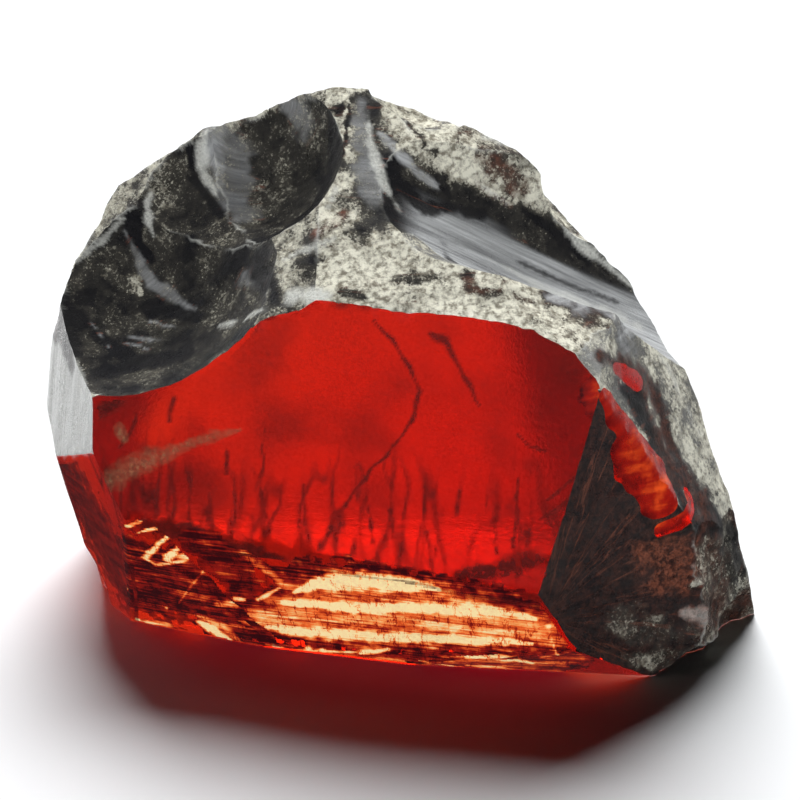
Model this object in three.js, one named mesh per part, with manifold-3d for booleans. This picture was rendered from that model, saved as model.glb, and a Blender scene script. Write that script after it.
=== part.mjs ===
// A garnet crystal: one broken lump of gem rough, bounded by flat fractures and hollow,
// shell-shaped (conchoidal) scars. Millimetres, +Z up, the front of the stone faces -Y.
//
// The lump starts as a rectangular block. Every flat fracture takes away all that lies in
// front of one plane, and every scar takes away a ball or a round bar. The stone rests on
// a flat fracture at z = 0.
import * as THREE from 'three';
import { mergeVertices } from 'three/addons/utils/BufferGeometryUtils.js';
import Module from 'manifold-3d';

// ---- driving dimensions ---------------------------------------------------------------
const BLOCK = { width: 31, depth: 22.5, height: 22.5 };   // the lump before it broke
const CUTTER = 70;                 // side of the box that carries away a flat fracture
const BOWL_SEGMENTS = 60;          // facets round a hollow scar
const CHIP_SEGMENTS = 20;          // facets round a small chip
const TROUGH_SEGMENTS = 72;        // facets round the long trough

// A face looks along its turn and tilt, in degrees: turn 0 is the front (-Y), +90 the
// right (+X), 180 the back; tilt +90 is straight up. at = a point on the face.
const FRACTURES = [
  // the front: the big clear window, the undercut glowing bevel below it, the toe
  { name: 'window', at: [0, -9, 9], turn: -12, tilt: 12 },
  { name: 'bevel', at: [1, -9.2, 2.4], turn: -15, tilt: -20 },
  { name: 'toe', at: [3, -9.2, 0.8], turn: -6, tilt: -44 },
  { name: 'left_low', at: [-9, -6.3, 2.4], turn: -24, tilt: -26 },
  { name: 'left_corner', at: [-12.4, -4, 4], turn: -58, tilt: -14 },
  { name: 'left_glint', at: [-13.2, -4, 9], turn: -66, tilt: 6 },
  { name: 'fan', at: [6.6, -10.45, 8.9], turn: 24, tilt: 2 },
  { name: 'right_end', at: [13.6, -6, 3], turn: 58, tilt: 4 },
  { name: 'right_foot', at: [12.4, -7.5, 0.3], turn: 50, tilt: -50 },
  { name: 'right_flank', at: [12, -5, 9], turn: 62, tilt: 24 },
  { name: 'right_crust', at: [9.5, -6.5, 13.6], turn: 48, tilt: 42 },
  // the crown: brow on the left, plateau in the middle, sloping roof on the right
  { name: 'brow', at: [-8.85, -6.5, 12.25], turn: -37, tilt: 46.5 },
  { name: 'plateau', at: [-1.5, -5.5, 16.4], turn: -8, tilt: 52 },
  { name: 'upper_right', at: [3, 0, 19.6], turn: 38, tilt: 58 },
  // the left outline, from the foot up to the crown
  { name: 'left_flank_low', at: [-14.5, -1, 7.3], turn: -85, tilt: -13 },
  { name: 'left_flank', at: [-14.5, -1, 10.4], turn: -92, tilt: 7 },
  { name: 'left_flank_high', at: [-13.8, 0, 13.2], turn: -95, tilt: 16 },
  { name: 'left_shoulder', at: [-12.4, 0.5, 16.3], turn: -100, tilt: 26 },
  { name: 'left_roof', at: [-9.7, 1, 19], turn: -119, tilt: 52 },
  { name: 'crown_left', at: [-6.3, 2, 20.3], turn: -140, tilt: 62 },
  { name: 'crown', at: [-3.1, 2, 21.2], turn: -148, tilt: 64 },
  // the right outline, from the crown down to the foot
  { name: 'crown_right', at: [-0.7, 3, 20.9], turn: 129, tilt: 57 },
  { name: 'crown_back', at: [0.9, 3, 20.3], turn: 158, tilt: 65 },
  { name: 'right_roof', at: [3, 3, 19.5], turn: 124, tilt: 54 },
  { name: 'right_roof_low', at: [5.5, 2, 17.7], turn: 110, tilt: 38 },
  { name: 'right_shoulder', at: [8.5, 1, 14.8], turn: 111, tilt: 40 },
  { name: 'right_side_high', at: [11.2, 0, 10.6], turn: 98, tilt: 17 },
  { name: 'right_side', at: [13.2, -1, 6.3], turn: 102, tilt: 24 },
  { name: 'right_side_low', at: [14.7, -2, 2.5], turn: 95, tilt: 12 },
  // the back, broken nearly upright
  { name: 'back', at: [0, 10, 6], turn: 180, tilt: 2 },
  { name: 'back_left', at: [-10, 8, 8], turn: 225, tilt: 8 },
  { name: 'back_right', at: [10, 7, 8], turn: 140, tilt: 12 },
  { name: 'back_top', at: [0, 5, 19.5], turn: 180, tilt: 48 },
];

// A hollow scar is part of a ball: at = its deepest point, turn and tilt = the way it opens.
const BOWLS = [
  { name: 'scar_left', at: [-8.84, -2.48, 12.96], turn: -37, tilt: 46.5, radius: 8.2 },
  { name: 'scar_middle', at: [-7.04, -0.19, 16.27], turn: -37, tilt: 46.5, radius: 6.2 },
  { name: 'scar_top', at: [-4.85, 0.39, 17.14], turn: -37, tilt: 46.5, radius: 4.55 },
  { name: 'scar_ridge', at: [2.2, -2.2, 17.6], turn: 10, tilt: 40, radius: 4.4 },
  { name: 'scar_back', at: [-2, 9.1, 12.5], turn: 188, tilt: 14, radius: 16 },
  { name: 'scar_back_right', at: [9.4, 6.2, 7.5], turn: 132, tilt: 10, radius: 11 },
];

// The long trough that runs from the crown down to the right: a round bar's path.
const TROUGH = { from: [1.2, -5.4, 21.3], to: [10.8, -2.9, 16], radius: 4.3, length: 60 };

// Shallow chips knocked off the edges: at = the deepest point.
const CHIPS = [
  { name: 'crown_chip', at: [-0.4, 2.0, 20.5], turn: 70, tilt: 50, radius: 3 },
  { name: 'shoulder_chip', at: [6.8, 1.3, 15.9], turn: 88, tilt: 45, radius: 4 },
  { name: 'right_foot_chip', at: [13.5, -5.4, 1.0], turn: 64, tilt: -24, radius: 3 },
  { name: 'left_foot_chip', at: [-12.6, -1.5, 1.2], turn: -75, tilt: -20, radius: 3.5 },
  { name: 'back_edge_chip', at: [-7.6, 9.5, 4], turn: 205, tilt: 2, radius: 6 },
];

const GARNET = new THREE.MeshStandardMaterial({
  name: 'garnet', color: 0x8a1712, roughness: 0.25, metalness: 0,
});

// ---- tools ----------------------------------------------------------------------------
const wasm = await Module();
wasm.setup();

// Turn and tilt in degrees to the direction that a face looks along.
function outward({ turn, tilt }) {
  const a = THREE.MathUtils.degToRad(turn);
  const e = THREE.MathUtils.degToRad(tilt);
  return new THREE.Vector3(
    Math.cos(e) * Math.sin(a), -Math.cos(e) * Math.cos(a), Math.sin(e));
}

// A closed three.js geometry as a solid that can be cut.
function solid(geometry) {
  const bare = geometry.clone();
  bare.deleteAttribute('normal');
  bare.deleteAttribute('uv');
  const merged = mergeVertices(bare, 1e-5);
  return new wasm.Manifold(new wasm.Mesh({
    numProp: 3,
    vertProperties: new Float32Array(merged.attributes.position.array),
    triVerts: new Uint32Array(merged.index.array),
  }));
}

// A big box whose one side lies on the fracture's plane, outside the stone.
function flatCutter(face) {
  const way = outward(face);
  const box = new THREE.BoxGeometry(CUTTER, CUTTER, CUTTER);
  const turn = new THREE.Quaternion().setFromUnitVectors(new THREE.Vector3(0, 0, 1), way);
  const middle = new THREE.Vector3(...face.at).addScaledVector(way, CUTTER / 2);
  box.applyQuaternion(turn);
  box.translate(middle.x, middle.y, middle.z);
  return solid(box);
}

// A ball whose lowest point is the deepest point of the scar.
function bowlCutter(scar, segments) {
  const middle = new THREE.Vector3(...scar.at).addScaledVector(outward(scar), scar.radius);
  const ball = new THREE.SphereGeometry(scar.radius, segments, segments / 2);
  ball.translate(middle.x, middle.y, middle.z);
  return solid(ball);
}

// A long round bar through two points.
function barCutter({ from, to, radius, length }) {
  const start = new THREE.Vector3(...from);
  const end = new THREE.Vector3(...to);
  const way = end.clone().sub(start).normalize();
  const middle = start.add(end).multiplyScalar(0.5);
  const bar = new THREE.CylinderGeometry(radius, radius, length, TROUGH_SEGMENTS);
  bar.applyQuaternion(
    new THREE.Quaternion().setFromUnitVectors(new THREE.Vector3(0, 1, 0), way));
  bar.translate(middle.x, middle.y, middle.z);
  return solid(bar);
}

// ---- the stone ------------------------------------------------------------------------
const block = new THREE.BoxGeometry(BLOCK.width, BLOCK.depth, BLOCK.height);
block.translate(0, 0, BLOCK.height / 2);          // its underside is the resting fracture

let stone = solid(block);
for (const face of FRACTURES) stone = stone.subtract(flatCutter(face));
for (const scar of BOWLS) stone = stone.subtract(bowlCutter(scar, BOWL_SEGMENTS));
stone = stone.subtract(barCutter(TROUGH));
for (const chip of CHIPS) stone = stone.subtract(bowlCutter(chip, CHIP_SEGMENTS));

const cut = stone.getMesh();
const geometry = new THREE.BufferGeometry();
geometry.setAttribute('position', new THREE.BufferAttribute(cut.vertProperties, 3));
geometry.setIndex(new THREE.BufferAttribute(cut.triVerts, 1));

// The origin is the middle of the outline's box, on the floor.
geometry.computeBoundingBox();
const box = geometry.boundingBox;
geometry.translate(-(box.min.x + box.max.x) / 2, -(box.min.y + box.max.y) / 2, -box.min.z);
geometry.computeVertexNormals();

const crystal = new THREE.Mesh(geometry, GARNET);
crystal.name = 'garnet_crystal';

const group = new THREE.Group();
group.add(crystal);

export default group;
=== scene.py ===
import itertools
import math
from collections import namedtuple

import bpy
import numpy as np
from bpy.props import FloatProperty, FloatVectorProperty, IntProperty, PointerProperty
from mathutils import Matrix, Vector


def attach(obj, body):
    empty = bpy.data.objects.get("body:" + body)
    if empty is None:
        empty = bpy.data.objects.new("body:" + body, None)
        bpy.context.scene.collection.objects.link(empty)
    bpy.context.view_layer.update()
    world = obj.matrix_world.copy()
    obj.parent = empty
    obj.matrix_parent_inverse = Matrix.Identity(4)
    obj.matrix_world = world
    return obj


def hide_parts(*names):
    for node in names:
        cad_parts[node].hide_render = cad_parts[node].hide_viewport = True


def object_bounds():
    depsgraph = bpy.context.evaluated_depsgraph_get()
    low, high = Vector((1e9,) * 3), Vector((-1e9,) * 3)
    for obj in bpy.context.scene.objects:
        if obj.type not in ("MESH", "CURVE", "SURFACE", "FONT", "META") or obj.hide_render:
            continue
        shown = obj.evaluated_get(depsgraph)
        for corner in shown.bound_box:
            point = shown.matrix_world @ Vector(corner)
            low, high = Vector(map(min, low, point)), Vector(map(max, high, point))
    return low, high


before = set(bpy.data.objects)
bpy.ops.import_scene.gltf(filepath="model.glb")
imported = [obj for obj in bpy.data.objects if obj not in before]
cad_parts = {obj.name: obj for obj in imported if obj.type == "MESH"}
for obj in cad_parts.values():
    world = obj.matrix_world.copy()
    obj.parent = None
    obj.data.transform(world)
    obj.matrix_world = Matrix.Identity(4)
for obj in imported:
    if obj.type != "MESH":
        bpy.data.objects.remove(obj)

bl_info = {
    "name": "Garnet crystal",
    "version": (1, 0, 0),
    "blender": (4, 5, 0),
    "location": "View3D > Sidebar > Garnet",
    "description": "Makes a broken lump of clear red garnet, the flaws sealed in it and a plain stage",
    "category": "Add Mesh",
}

MM = 0.001
CAD_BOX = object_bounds()
NODE = "garnet_crystal"
BODY = "root"

# ---------------------------------------------------------------------------------------
# The stone's faces, in millimetres and degrees. The front of the stone faces -Y. A face
# looks along its turn (0 front, 90 right) and tilt (90 up). A radius makes it a hollow scar
# whose deepest point is given; no radius is a flat fracture.
# ---------------------------------------------------------------------------------------
HEART = np.array([0.0, 0.0, 8.0])      # a point inside, from which every face can be seen
FAR = 1e6                              # farther than any face
TINY = 1e-6

Face = namedtuple("Face", "name point looks radius finish")
FACES = [Face(*row) for row in (
    # name, point on the face, (turn, tilt) that it looks along, radius, finish
    ("base", (0, 0, 0), (0, -90), 0, "resting"),
    ("window", (0, -9, 9), (-12, 12), 0, "window"),
    ("bevel", (1, -9.2, 2.4), (-15, -20), 0, "rippled"),
    ("toe", (3, -9.2, 0.8), (-6, -44), 0, "rippled"),
    ("left_low", (-9, -6.3, 2.4), (-24, -26), 0, "rippled"),
    ("left_corner", (-12.4, -4, 4), (-58, -14), 0, "glassy"),
    ("left_glint", (-13.2, -4, 9), (-66, 6), 0, "sleek"),
    ("fan", (6.6, -10.45, 8.9), (24, 2), 0, "hackled"),
    ("right_end", (13.6, -6, 3), (58, 4), 0, "blocky"),
    ("right_foot", (12.4, -7.5, 0.3), (50, -50), 0, "blocky"),
    ("right_flank", (12, -5, 9), (62, 24), 0, "crusty"),
    ("right_crust", (9.5, -6.5, 13.6), (48, 42), 0, "crusty"),
    ("brow", (-8.85, -6.5, 12.25), (-37, 46.5), 0, "chalky"),
    ("plateau", (-1.5, -5.5, 16.4), (-8, 52), 0, "chalky"),
    ("upper_right", (3, 0, 19.6), (38, 58), 0, "chalky"),
    ("left_flank_low", (-14.5, -1, 7.3), (-85, -13), 0, "glassy"),
    ("left_flank", (-14.5, -1, 10.4), (-92, 7), 0, "sleek"),
    ("left_flank_high", (-13.8, 0, 13.2), (-95, 16), 0, "rough"),
    ("left_shoulder", (-12.4, 0.5, 16.3), (-100, 26), 0, "chalky"),
    ("left_roof", (-9.7, 1, 19), (-119, 52), 0, "crusty"),
    ("crown_left", (-6.3, 2, 20.3), (-140, 62), 0, "crusty"),
    ("crown", (-3.1, 2, 21.2), (-148, 64), 0, "crusty"),
    ("crown_right", (-0.7, 3, 20.9), (129, 57), 0, "crusty"),
    ("crown_back", (0.9, 3, 20.3), (158, 65), 0, "crusty"),
    ("right_roof", (3, 3, 19.5), (124, 54), 0, "crusty"),
    ("right_roof_low", (5.5, 2, 17.7), (110, 38), 0, "crusty"),
    ("right_shoulder", (8.5, 1, 14.8), (111, 40), 0, "crusty"),
    ("right_side_high", (11.2, 0, 10.6), (98, 17), 0, "rough"),
    ("right_side", (13.2, -1, 6.3), (102, 24), 0, "rough"),
    ("right_side_low", (14.7, -2, 2.5), (95, 12), 0, "rough"),
    ("back", (0, 10, 6), (180, 2), 0, "frosted"),
    ("back_left", (-10, 8, 8), (225, 8), 0, "frosted"),
    ("back_right", (10, 7, 8), (140, 12), 0, "frosted"),
    ("back_top", (0, 5, 19.5), (180, 48), 0, "crusty"),
    ("scar_left", (-8.84, -2.48, 12.96), (-37, 46.5), 8.2, "shell"),
    ("scar_middle", (-7.04, -0.19, 16.27), (-37, 46.5), 6.2, "shell"),
    ("scar_top", (-4.85, 0.39, 17.14), (-37, 46.5), 4.55, "shell"),
    ("scar_ridge", (2.2, -2.2, 17.6), (10, 40), 4.4, "silky"),
    ("scar_back", (-2, 9.1, 12.5), (188, 14), 16, "frosted"),
    ("scar_back_right", (9.4, 6.2, 7.5), (132, 10), 11, "frosted"),
    ("crown_chip", (-0.4, 2.0, 20.5), (70, 50), 3, "crusty"),
    ("shoulder_chip", (6.8, 1.3, 15.9), (88, 45), 4, "crusty"),
    ("right_foot_chip", (13.5, -5.4, 1.0), (64, -24), 3, "blocky"),
    ("left_foot_chip", (-12.6, -1.5, 1.2), (-75, -20), 3.5, "glassy"),
    ("back_edge_chip", (-7.6, 9.5, 4), (205, 2), 6, "frosted"),
)]
# The last cut of all is a trough, a round bar taken out of the upper right
TROUGH_START = np.array([1.2, -5.4, 21.3])
TROUGH_END = np.array([10.8, -2.9, 16.0])
TROUGH_RADIUS = 4.3

# The trough counts as a face, and so do the places where the fan's dark skin has chipped off
FACE_NAMES = [face.name for face in FACES] + ["trough", "fan_clear"]
FACE_FINISHES = [face.finish for face in FACES] + ["silky", "patch"]
FACE_INDEX = {name: i for i, name in enumerate(FACE_NAMES)}
CLEAR_FINISHES = {"resting", "window", "rippled", "glassy", "frosted", "patch"}


def unit(vectors):
    """Vectors made 1 long."""
    return vectors / np.linalg.norm(vectors, axis=-1, keepdims=True)


def outward(turn, tilt):
    """The direction that a face looks along, from its turn and tilt in degrees."""
    a, e = math.radians(turn), math.radians(tilt)
    return np.array([math.cos(e) * math.sin(a), -math.cos(e) * math.cos(a), math.sin(e)])


FACE_NORMALS = np.array([outward(*face.looks) for face in FACES])
TROUGH_WAY = unit(TROUGH_END - TROUGH_START)


def face_axes(name):
    """A face's given point, the way it looks, and its right and up directions."""
    at = np.array(FACES[FACE_INDEX[name]].point, float)
    normal = FACE_NORMALS[FACE_INDEX[name]]
    right = unit(np.cross([0, 0, 1], normal))
    return at, normal, right, np.cross(normal, right)


def in_plane(run, across):
    """Places on a sheet as points in space, whose third number is 0."""
    return np.column_stack([run, across, run * 0])


# ---------------------------------------------------------------------------------------
# Noise, seeded, so that every run makes the same stone
# ---------------------------------------------------------------------------------------
def noise_tables(seed):
    chance = np.random.RandomState(seed)
    return unit(chance.normal(size=(256, 3))), chance.permutation(256)


GRADIENTS, ORDER = noise_tables(11)
CORNERS = [np.array(c) for c in itertools.product((0, 1), repeat=3)]
NEIGHBOURS = [np.array(c) for c in itertools.product((-1, 0, 1), repeat=3)]
SEED_STEP = np.array([17.3, 5.1, 9.7])      # how far apart two seeds look at the noise
NOISE_GAIN = 1.7


def lot(cell):
    """Which of the 256 random rows belongs to each cell."""
    c = cell & 255
    return ORDER[(c[:, 0] + ORDER[(c[:, 1] + ORDER[c[:, 2]]) & 255]) & 255]


def noise(points, seed=0):
    """Smooth noise between about -1 and 1."""
    points = points + SEED_STEP * (seed + 1)
    cell = np.floor(points).astype(np.int64)
    inside = points - cell
    fade = inside ** 3 * (inside * (inside * 6 - 15) + 10)
    total = np.zeros(len(points))
    for corner in CORNERS:
        weight = np.prod(np.where(corner == 1, fade, 1 - fade), axis=1)
        slope = GRADIENTS[lot(cell + corner)]
        total += weight * np.einsum("ij,ij->i", slope, inside - corner)
    return total * NOISE_GAIN


def fractal(points, size, octaves=3, seed=0):
    """Noise whose largest grains are size across, with finer grains on them."""
    total = np.zeros(len(points))
    for octave in range(octaves):
        total += noise(points * (2 ** octave / size), seed + octave) * 0.5 ** octave
    return total


def smooth(low, high, value):
    """0 below low, 1 above high, and a smooth rise between them."""
    t = np.clip((value - low) / (high - low), 0, 1)
    return t * t * (3 - 2 * t)


def nearness(points, path):
    """How near points lie to a drawn path: 0 on its middle line, 1 at its edge. Each
    row of the path is a place, followed by the path's half width there."""
    path = np.array(path, float)
    if len(path) == 1:
        path = np.repeat(path, 2, axis=0)
    best = np.full(len(points), FAR)
    for a, b in zip(path[:-1], path[1:]):
        step = b[:-1] - a[:-1]
        t = np.clip((points - a[:-1]) @ step / max(step @ step, TINY ** 2), 0, 1)
        gap = np.linalg.norm(points - a[:-1] - t[:, None] * step, axis=1)
        best = np.minimum(best, gap / (a[-1] + t * (b[-1] - a[-1])))
    return best


CHIP_SPREAD = (0.1, 0.9)     # where in its cell a chip may stand
CHIP_LIFT = 0.35             # how much higher than another a chip may stand
CHIP_CREST = 0.2             # chips are cut off flat at this height
CHIP_SEED_STEP = 7.7         # how far apart two seeds look at the chips


def chip_tables(seed):
    """A place, a tilt and a height for each of 256 chips."""
    chance = np.random.RandomState(seed)
    axes = np.linalg.qr(chance.normal(size=(256, 3, 3)))[0]
    return chance.uniform(*CHIP_SPREAD, (256, 3)), axes, chance.uniform(0, CHIP_LIFT, 256)


CHIP_PLACES, CHIP_AXES, CHIP_HEIGHTS = chip_tables(23)


def chips(points, size, seed=0):
    """Flat-sided chips about size across: 0 on their crests, about 1 deep between them."""
    points = points / size + CHIP_SEED_STEP * (seed + 1)
    cell = np.floor(points).astype(np.int64)
    best = np.full(len(points), -FAR)
    for step in NEIGHBOURS:
        chip = lot(cell + step)
        away = points - cell - step - CHIP_PLACES[chip]
        spread = np.abs(np.einsum("ij,ikj->ik", away, CHIP_AXES[chip])).max(axis=1)
        best = np.maximum(best, CHIP_HEIGHTS[chip] - spread)
    return np.maximum(0, CHIP_CREST - best)


# ---------------------------------------------------------------------------------------
# Fine relief of each finish: how deep it eats into the stone, in millimetres, at points on
# the face of the given name
# ---------------------------------------------------------------------------------------
STRIKES = {      # where the blow fell that opened each scar; its ripples run round this
    "scar_left": np.array([-12.6, 0.5, 16.6]),
    "scar_middle": np.array([-9.6, 2.2, 19.0]),
    "scar_top": np.array([-6.0, 2.6, 20.8]),
}
FAN_ROOT = np.array([5.5, -11.1, 3.4])      # the fan's hackle lines spread from here
FAN_SPREAD = 6.0                            # mm across for each radian round the root
SCAR_SPREAD = 5.0                           # and for each radian round a strike


def scar_grain(points, name):
    """Distance from a scar's strike, and the way round it, in millimetres."""
    _, _, right, up = face_axes(name)
    away = points - STRIKES[name]
    return np.linalg.norm(away, axis=1), SCAR_SPREAD * np.arctan2(away @ right, -(away @ up))


def trough_grain(points):
    """Distance along the trough and round its wall, in millimetres."""
    along = (points - TROUGH_START) @ TROUGH_WAY
    side = points - TROUGH_START - along[:, None] * TROUGH_WAY
    right = unit(np.cross(TROUGH_WAY, [0, 0, 1]))
    up = np.cross(right, TROUGH_WAY)
    return along, np.arctan2(side @ right, -(side @ up)) * TROUGH_RADIUS


def fan_grain(points):
    """Distance from the fan's root, and the way round it, in millimetres."""
    _, _, right, up = face_axes("fan")
    away = points - FAN_ROOT
    return np.linalg.norm(away, axis=1), FAN_SPREAD * np.arctan2(away @ right, away @ up)


def grain_of(points, name):
    """The run of a face's grain, and the way across it."""
    if name in STRIKES:
        reach, round_it = scar_grain(points, name)
        return round_it, reach
    if name in ("trough", "scar_ridge"):
        return trough_grain(points)
    if name in ("fan", "fan_clear"):
        return fan_grain(points)
    if name in ("window", "bevel", "toe", "left_low"):
        at, _, right, up = face_axes(name)
        return (points - at) @ right, (points - at) @ up
    if name in ("left_glint", "left_flank"):
        return points[:, 2], points[:, 1]
    return points[:, 0], points[:, 2]


def lines_of(run, across, long, wide, octaves=3, seed=0):
    """Noise drawn out into lines along the run."""
    return fractal(in_plane(run / long, across / wide), 1, octaves, seed)


SWELL_LENGTH, RIPPLE_LENGTH = 1.7, 0.5      # mm from crest to crest in the scars


def relief_shell(points, name):
    reach, _ = scar_grain(points, name)
    reach = reach + 0.5 * fractal(points, 3.0, 2, 3)
    swell = np.sin(reach * 2 * math.pi / SWELL_LENGTH)
    ripple = np.sin(reach * 2 * math.pi / RIPPLE_LENGTH + 2 * noise(points / 2.0, 8))
    patch = smooth(-0.3, 0.4, noise(points / 2.2, 5))
    scales = chips(points, 0.9, 4) + 0.5 * chips(points, 0.4, 12)
    return 0.06 + 0.05 * swell + 0.02 * ripple + 0.16 * scales * (0.35 + 0.65 * patch)


def relief_crusty(points, name):
    return 0.02 + 0.34 * chips(points, 1.9, 1) + 0.13 * chips(points, 0.6, 2)


def relief_chalky(points, name):
    worn = smooth(-0.5, 0.6, noise(points / 1.9, 33))
    return 0.01 + 0.24 * worn * chips(points * np.array([0.8, 0.8, 1.5]), 1.3, 3) \
        + 0.05 * np.abs(fractal(points, 0.5, 2, 35))


def relief_silky(points, name):
    along, across = trough_grain(points)
    broad = lines_of(along, across, 8, 1.2, 2, 55)
    return 0.07 + 0.05 * broad + 0.022 * lines_of(along, across, 5, 0.3, 2, 51)


def relief_hackled(points, name):
    reach, round_it = fan_grain(points)
    lines = 1 - smooth(0.0, 0.12, np.abs(lines_of(reach, round_it, 5, 0.9, 2, 61)))
    foot = smooth(9, 4, points[:, 2])
    torn = smooth(4.6, 1.5, points[:, 2]) * smooth(6, 9, points[:, 0])
    return 0.03 + 0.07 * foot * (1 - lines) + 0.3 * torn * chips(points, 0.9, 6) \
        + 0.02 * np.abs(fractal(points, 1.0, 3, 65))


def relief_blocky(points, name):
    tall = np.array([1, 1, 0.7])
    return 0.05 + 0.55 * chips(points * tall, 1.7, 7) + 0.2 * chips(points, 0.55, 8)


def relief_rippled(points, name):
    run, across = grain_of(points, name)
    return 0.02 + 0.016 * lines_of(run, across, 6, 0.5, 2, 81)


def relief_rough(points, name):
    return 0.02 + 0.26 * chips(points, 1.6, 9) + 0.05 * np.abs(fractal(points, 0.4, 2, 95))


def relief_frosted(points, name):
    steps = chips(points, 2.6, 10) + 0.4 * chips(points, 1.1, 14)
    return 0.05 + 0.05 * fractal(points, 1.8, 3, 101) + 0.24 * steps


def relief_glassy(points, name):
    return 0.01 + 0.012 * noise(points / 1.6, 111) + 0.05 * chips(points, 2.6, 11)


def relief_window(points, name):
    return 0.004 + 0.004 * noise(points / 2.4, 121)


def relief_sleek(points, name):
    along, across = grain_of(points, "left_flank")
    return 0.02 + 0.03 * lines_of(along, across, 5, 0.8, 2, 123) + 0.03 * chips(points, 1.4, 13)


def relief_resting(points, name):
    return np.zeros(len(points))


RELIEFS = {
    "shell": relief_shell, "crusty": relief_crusty, "chalky": relief_chalky,
    "silky": relief_silky, "hackled": relief_hackled, "blocky": relief_blocky,
    "rippled": relief_rippled, "rough": relief_rough, "frosted": relief_frosted,
    "glassy": relief_glassy, "sleek": relief_sleek, "window": relief_window,
    "resting": relief_resting,
}


# ---------------------------------------------------------------------------------------
# The surface: how far it lies from the heart along any direction
# ---------------------------------------------------------------------------------------
RELIEF_REACH = 1.2          # mm: faces this close behind the nearest can still break through

# Clear patches in the dark skin of these faces: paths of (x, y, z, half width)
SKIN_FACES = ("fan", "right_flank", "right_end")
CLEAR_PATCHES = [
    [(8.4, -8.3, 12.6, 0.35), (9.2, -7.5, 11.9, 0.5)],
    [(7.9, -9.8, 12.0, 0.45), (8.3, -9.6, 11.2, 0.6), (8.8, -9.4, 10.3, 0.6)],
    [(8.8, -9.4, 9.8, 0.95), (9.5, -9.2, 8.7, 1.2), (10.0, -9.0, 7.7, 0.95)],
    [(10.9, -7.6, 8.7, 0.2), (11.3, -7.7, 7.7, 0.25), (11.5, -7.9, 6.8, 0.3),
     (10.9, -8.6, 6.4, 0.28), (10.1, -9.0, 6.2, 0.3)],
]


def plane_reach(ways, point, normal):
    """Where a line from the heart meets a flat face."""
    slope = ways @ normal
    gap = (np.array(point) - HEART) @ normal
    return np.where(slope > TINY, gap / np.maximum(slope, TINY), FAR)


def hollow_middle(face, normal):
    """The middle of the ball that cuts a hollow scar."""
    return np.array(face.point) + normal * face.radius


def hollow_reach(ways, middle, radius, axis=None):
    """Where a line from the heart first enters a ball, or a bar along axis."""
    back = HEART - middle
    side = ways
    if axis is not None:
        back = back - (back @ axis) * axis
        side = ways - (ways @ axis)[:, None] * axis
    a = np.einsum("ij,ij->i", side, side)
    b = side @ back
    room = b * b - a * (back @ back - radius ** 2)
    entry = (-b - np.sqrt(np.maximum(room, 0))) / a
    return np.where((room > 0) & (entry > 0), entry, FAR)


def face_reaches(ways):
    """For each direction, the distance to every face: an array of faces by directions."""
    reaches = []
    for face, normal in zip(FACES, FACE_NORMALS):
        if face.radius:
            reaches.append(hollow_reach(ways, hollow_middle(face, normal), face.radius))
        else:
            reaches.append(plane_reach(ways, face.point, normal))
    reaches.append(hollow_reach(ways, TROUGH_START, TROUGH_RADIUS, TROUGH_WAY))
    return np.array(reaches)


def in_clear_patch(points):
    """Whether each point lies in a clear patch, which has ragged edges."""
    near = np.min([nearness(points, path) for path in CLEAR_PATCHES], axis=0)
    return near + 0.25 * fractal(points, 1.1, 2, 131) < 1


def surface(ways):
    """The stone's surface along each direction: its points, and the face that makes each."""
    reaches = face_reaches(ways)
    nearest = reaches.min(axis=0)
    for i, name in enumerate(FACE_NAMES[:len(reaches)]):
        close = reaches[i] < nearest + RELIEF_REACH
        if close.any():
            points = HEART + ways[close] * reaches[i][close, None]
            reaches[i][close] -= RELIEFS[FACE_FINISHES[i]](points, name)
    which = reaches.argmin(axis=0)
    points = HEART + ways * reaches.min(axis=0)[:, None]
    skin = np.isin(which, [FACE_INDEX[name] for name in SKIN_FACES])
    which[skin & in_clear_patch(points)] = FACE_INDEX["fan_clear"]
    return points, which


# ---------------------------------------------------------------------------------------
# Mesh on the ball of directions: refined where the stone needs it, and cut along ridges
# ---------------------------------------------------------------------------------------
def start_ball():
    """A twenty-sided ball, as directions and triangles."""
    g = (1 + math.sqrt(5)) / 2
    ways = [(-1, g, 0), (1, g, 0), (-1, -g, 0), (1, -g, 0), (0, -1, g), (0, 1, g),
            (0, -1, -g), (0, 1, -g), (g, 0, -1), (g, 0, 1), (-g, 0, -1), (-g, 0, 1)]
    tris = [(0, 11, 5), (0, 5, 1), (0, 1, 7), (0, 7, 10), (0, 10, 11), (1, 5, 9), (5, 11, 4),
            (11, 10, 2), (10, 7, 6), (7, 1, 8), (3, 9, 4), (3, 4, 2), (3, 2, 6), (3, 6, 8),
            (3, 8, 9), (4, 9, 5), (2, 4, 11), (6, 2, 10), (8, 6, 7), (9, 8, 1)]
    return unit(np.array(ways, float)), np.array(tris)


def edges_of(tris):
    """The edges, and for each triangle the numbers of its three edges (01, 12, 20)."""
    pairs = np.sort(np.concatenate([tris[:, [0, 1]], tris[:, [1, 2]], tris[:, [2, 0]]]), axis=1)
    edges, numbers = np.unique(pairs, axis=0, return_inverse=True)
    return edges, numbers.reshape(3, len(tris)).T


def between(ways, edges, share):
    """The direction that lies share of the way along each edge."""
    share = share[:, None]
    return unit(ways[edges[:, 0]] * (1 - share) + ways[edges[:, 1]] * share)


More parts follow.
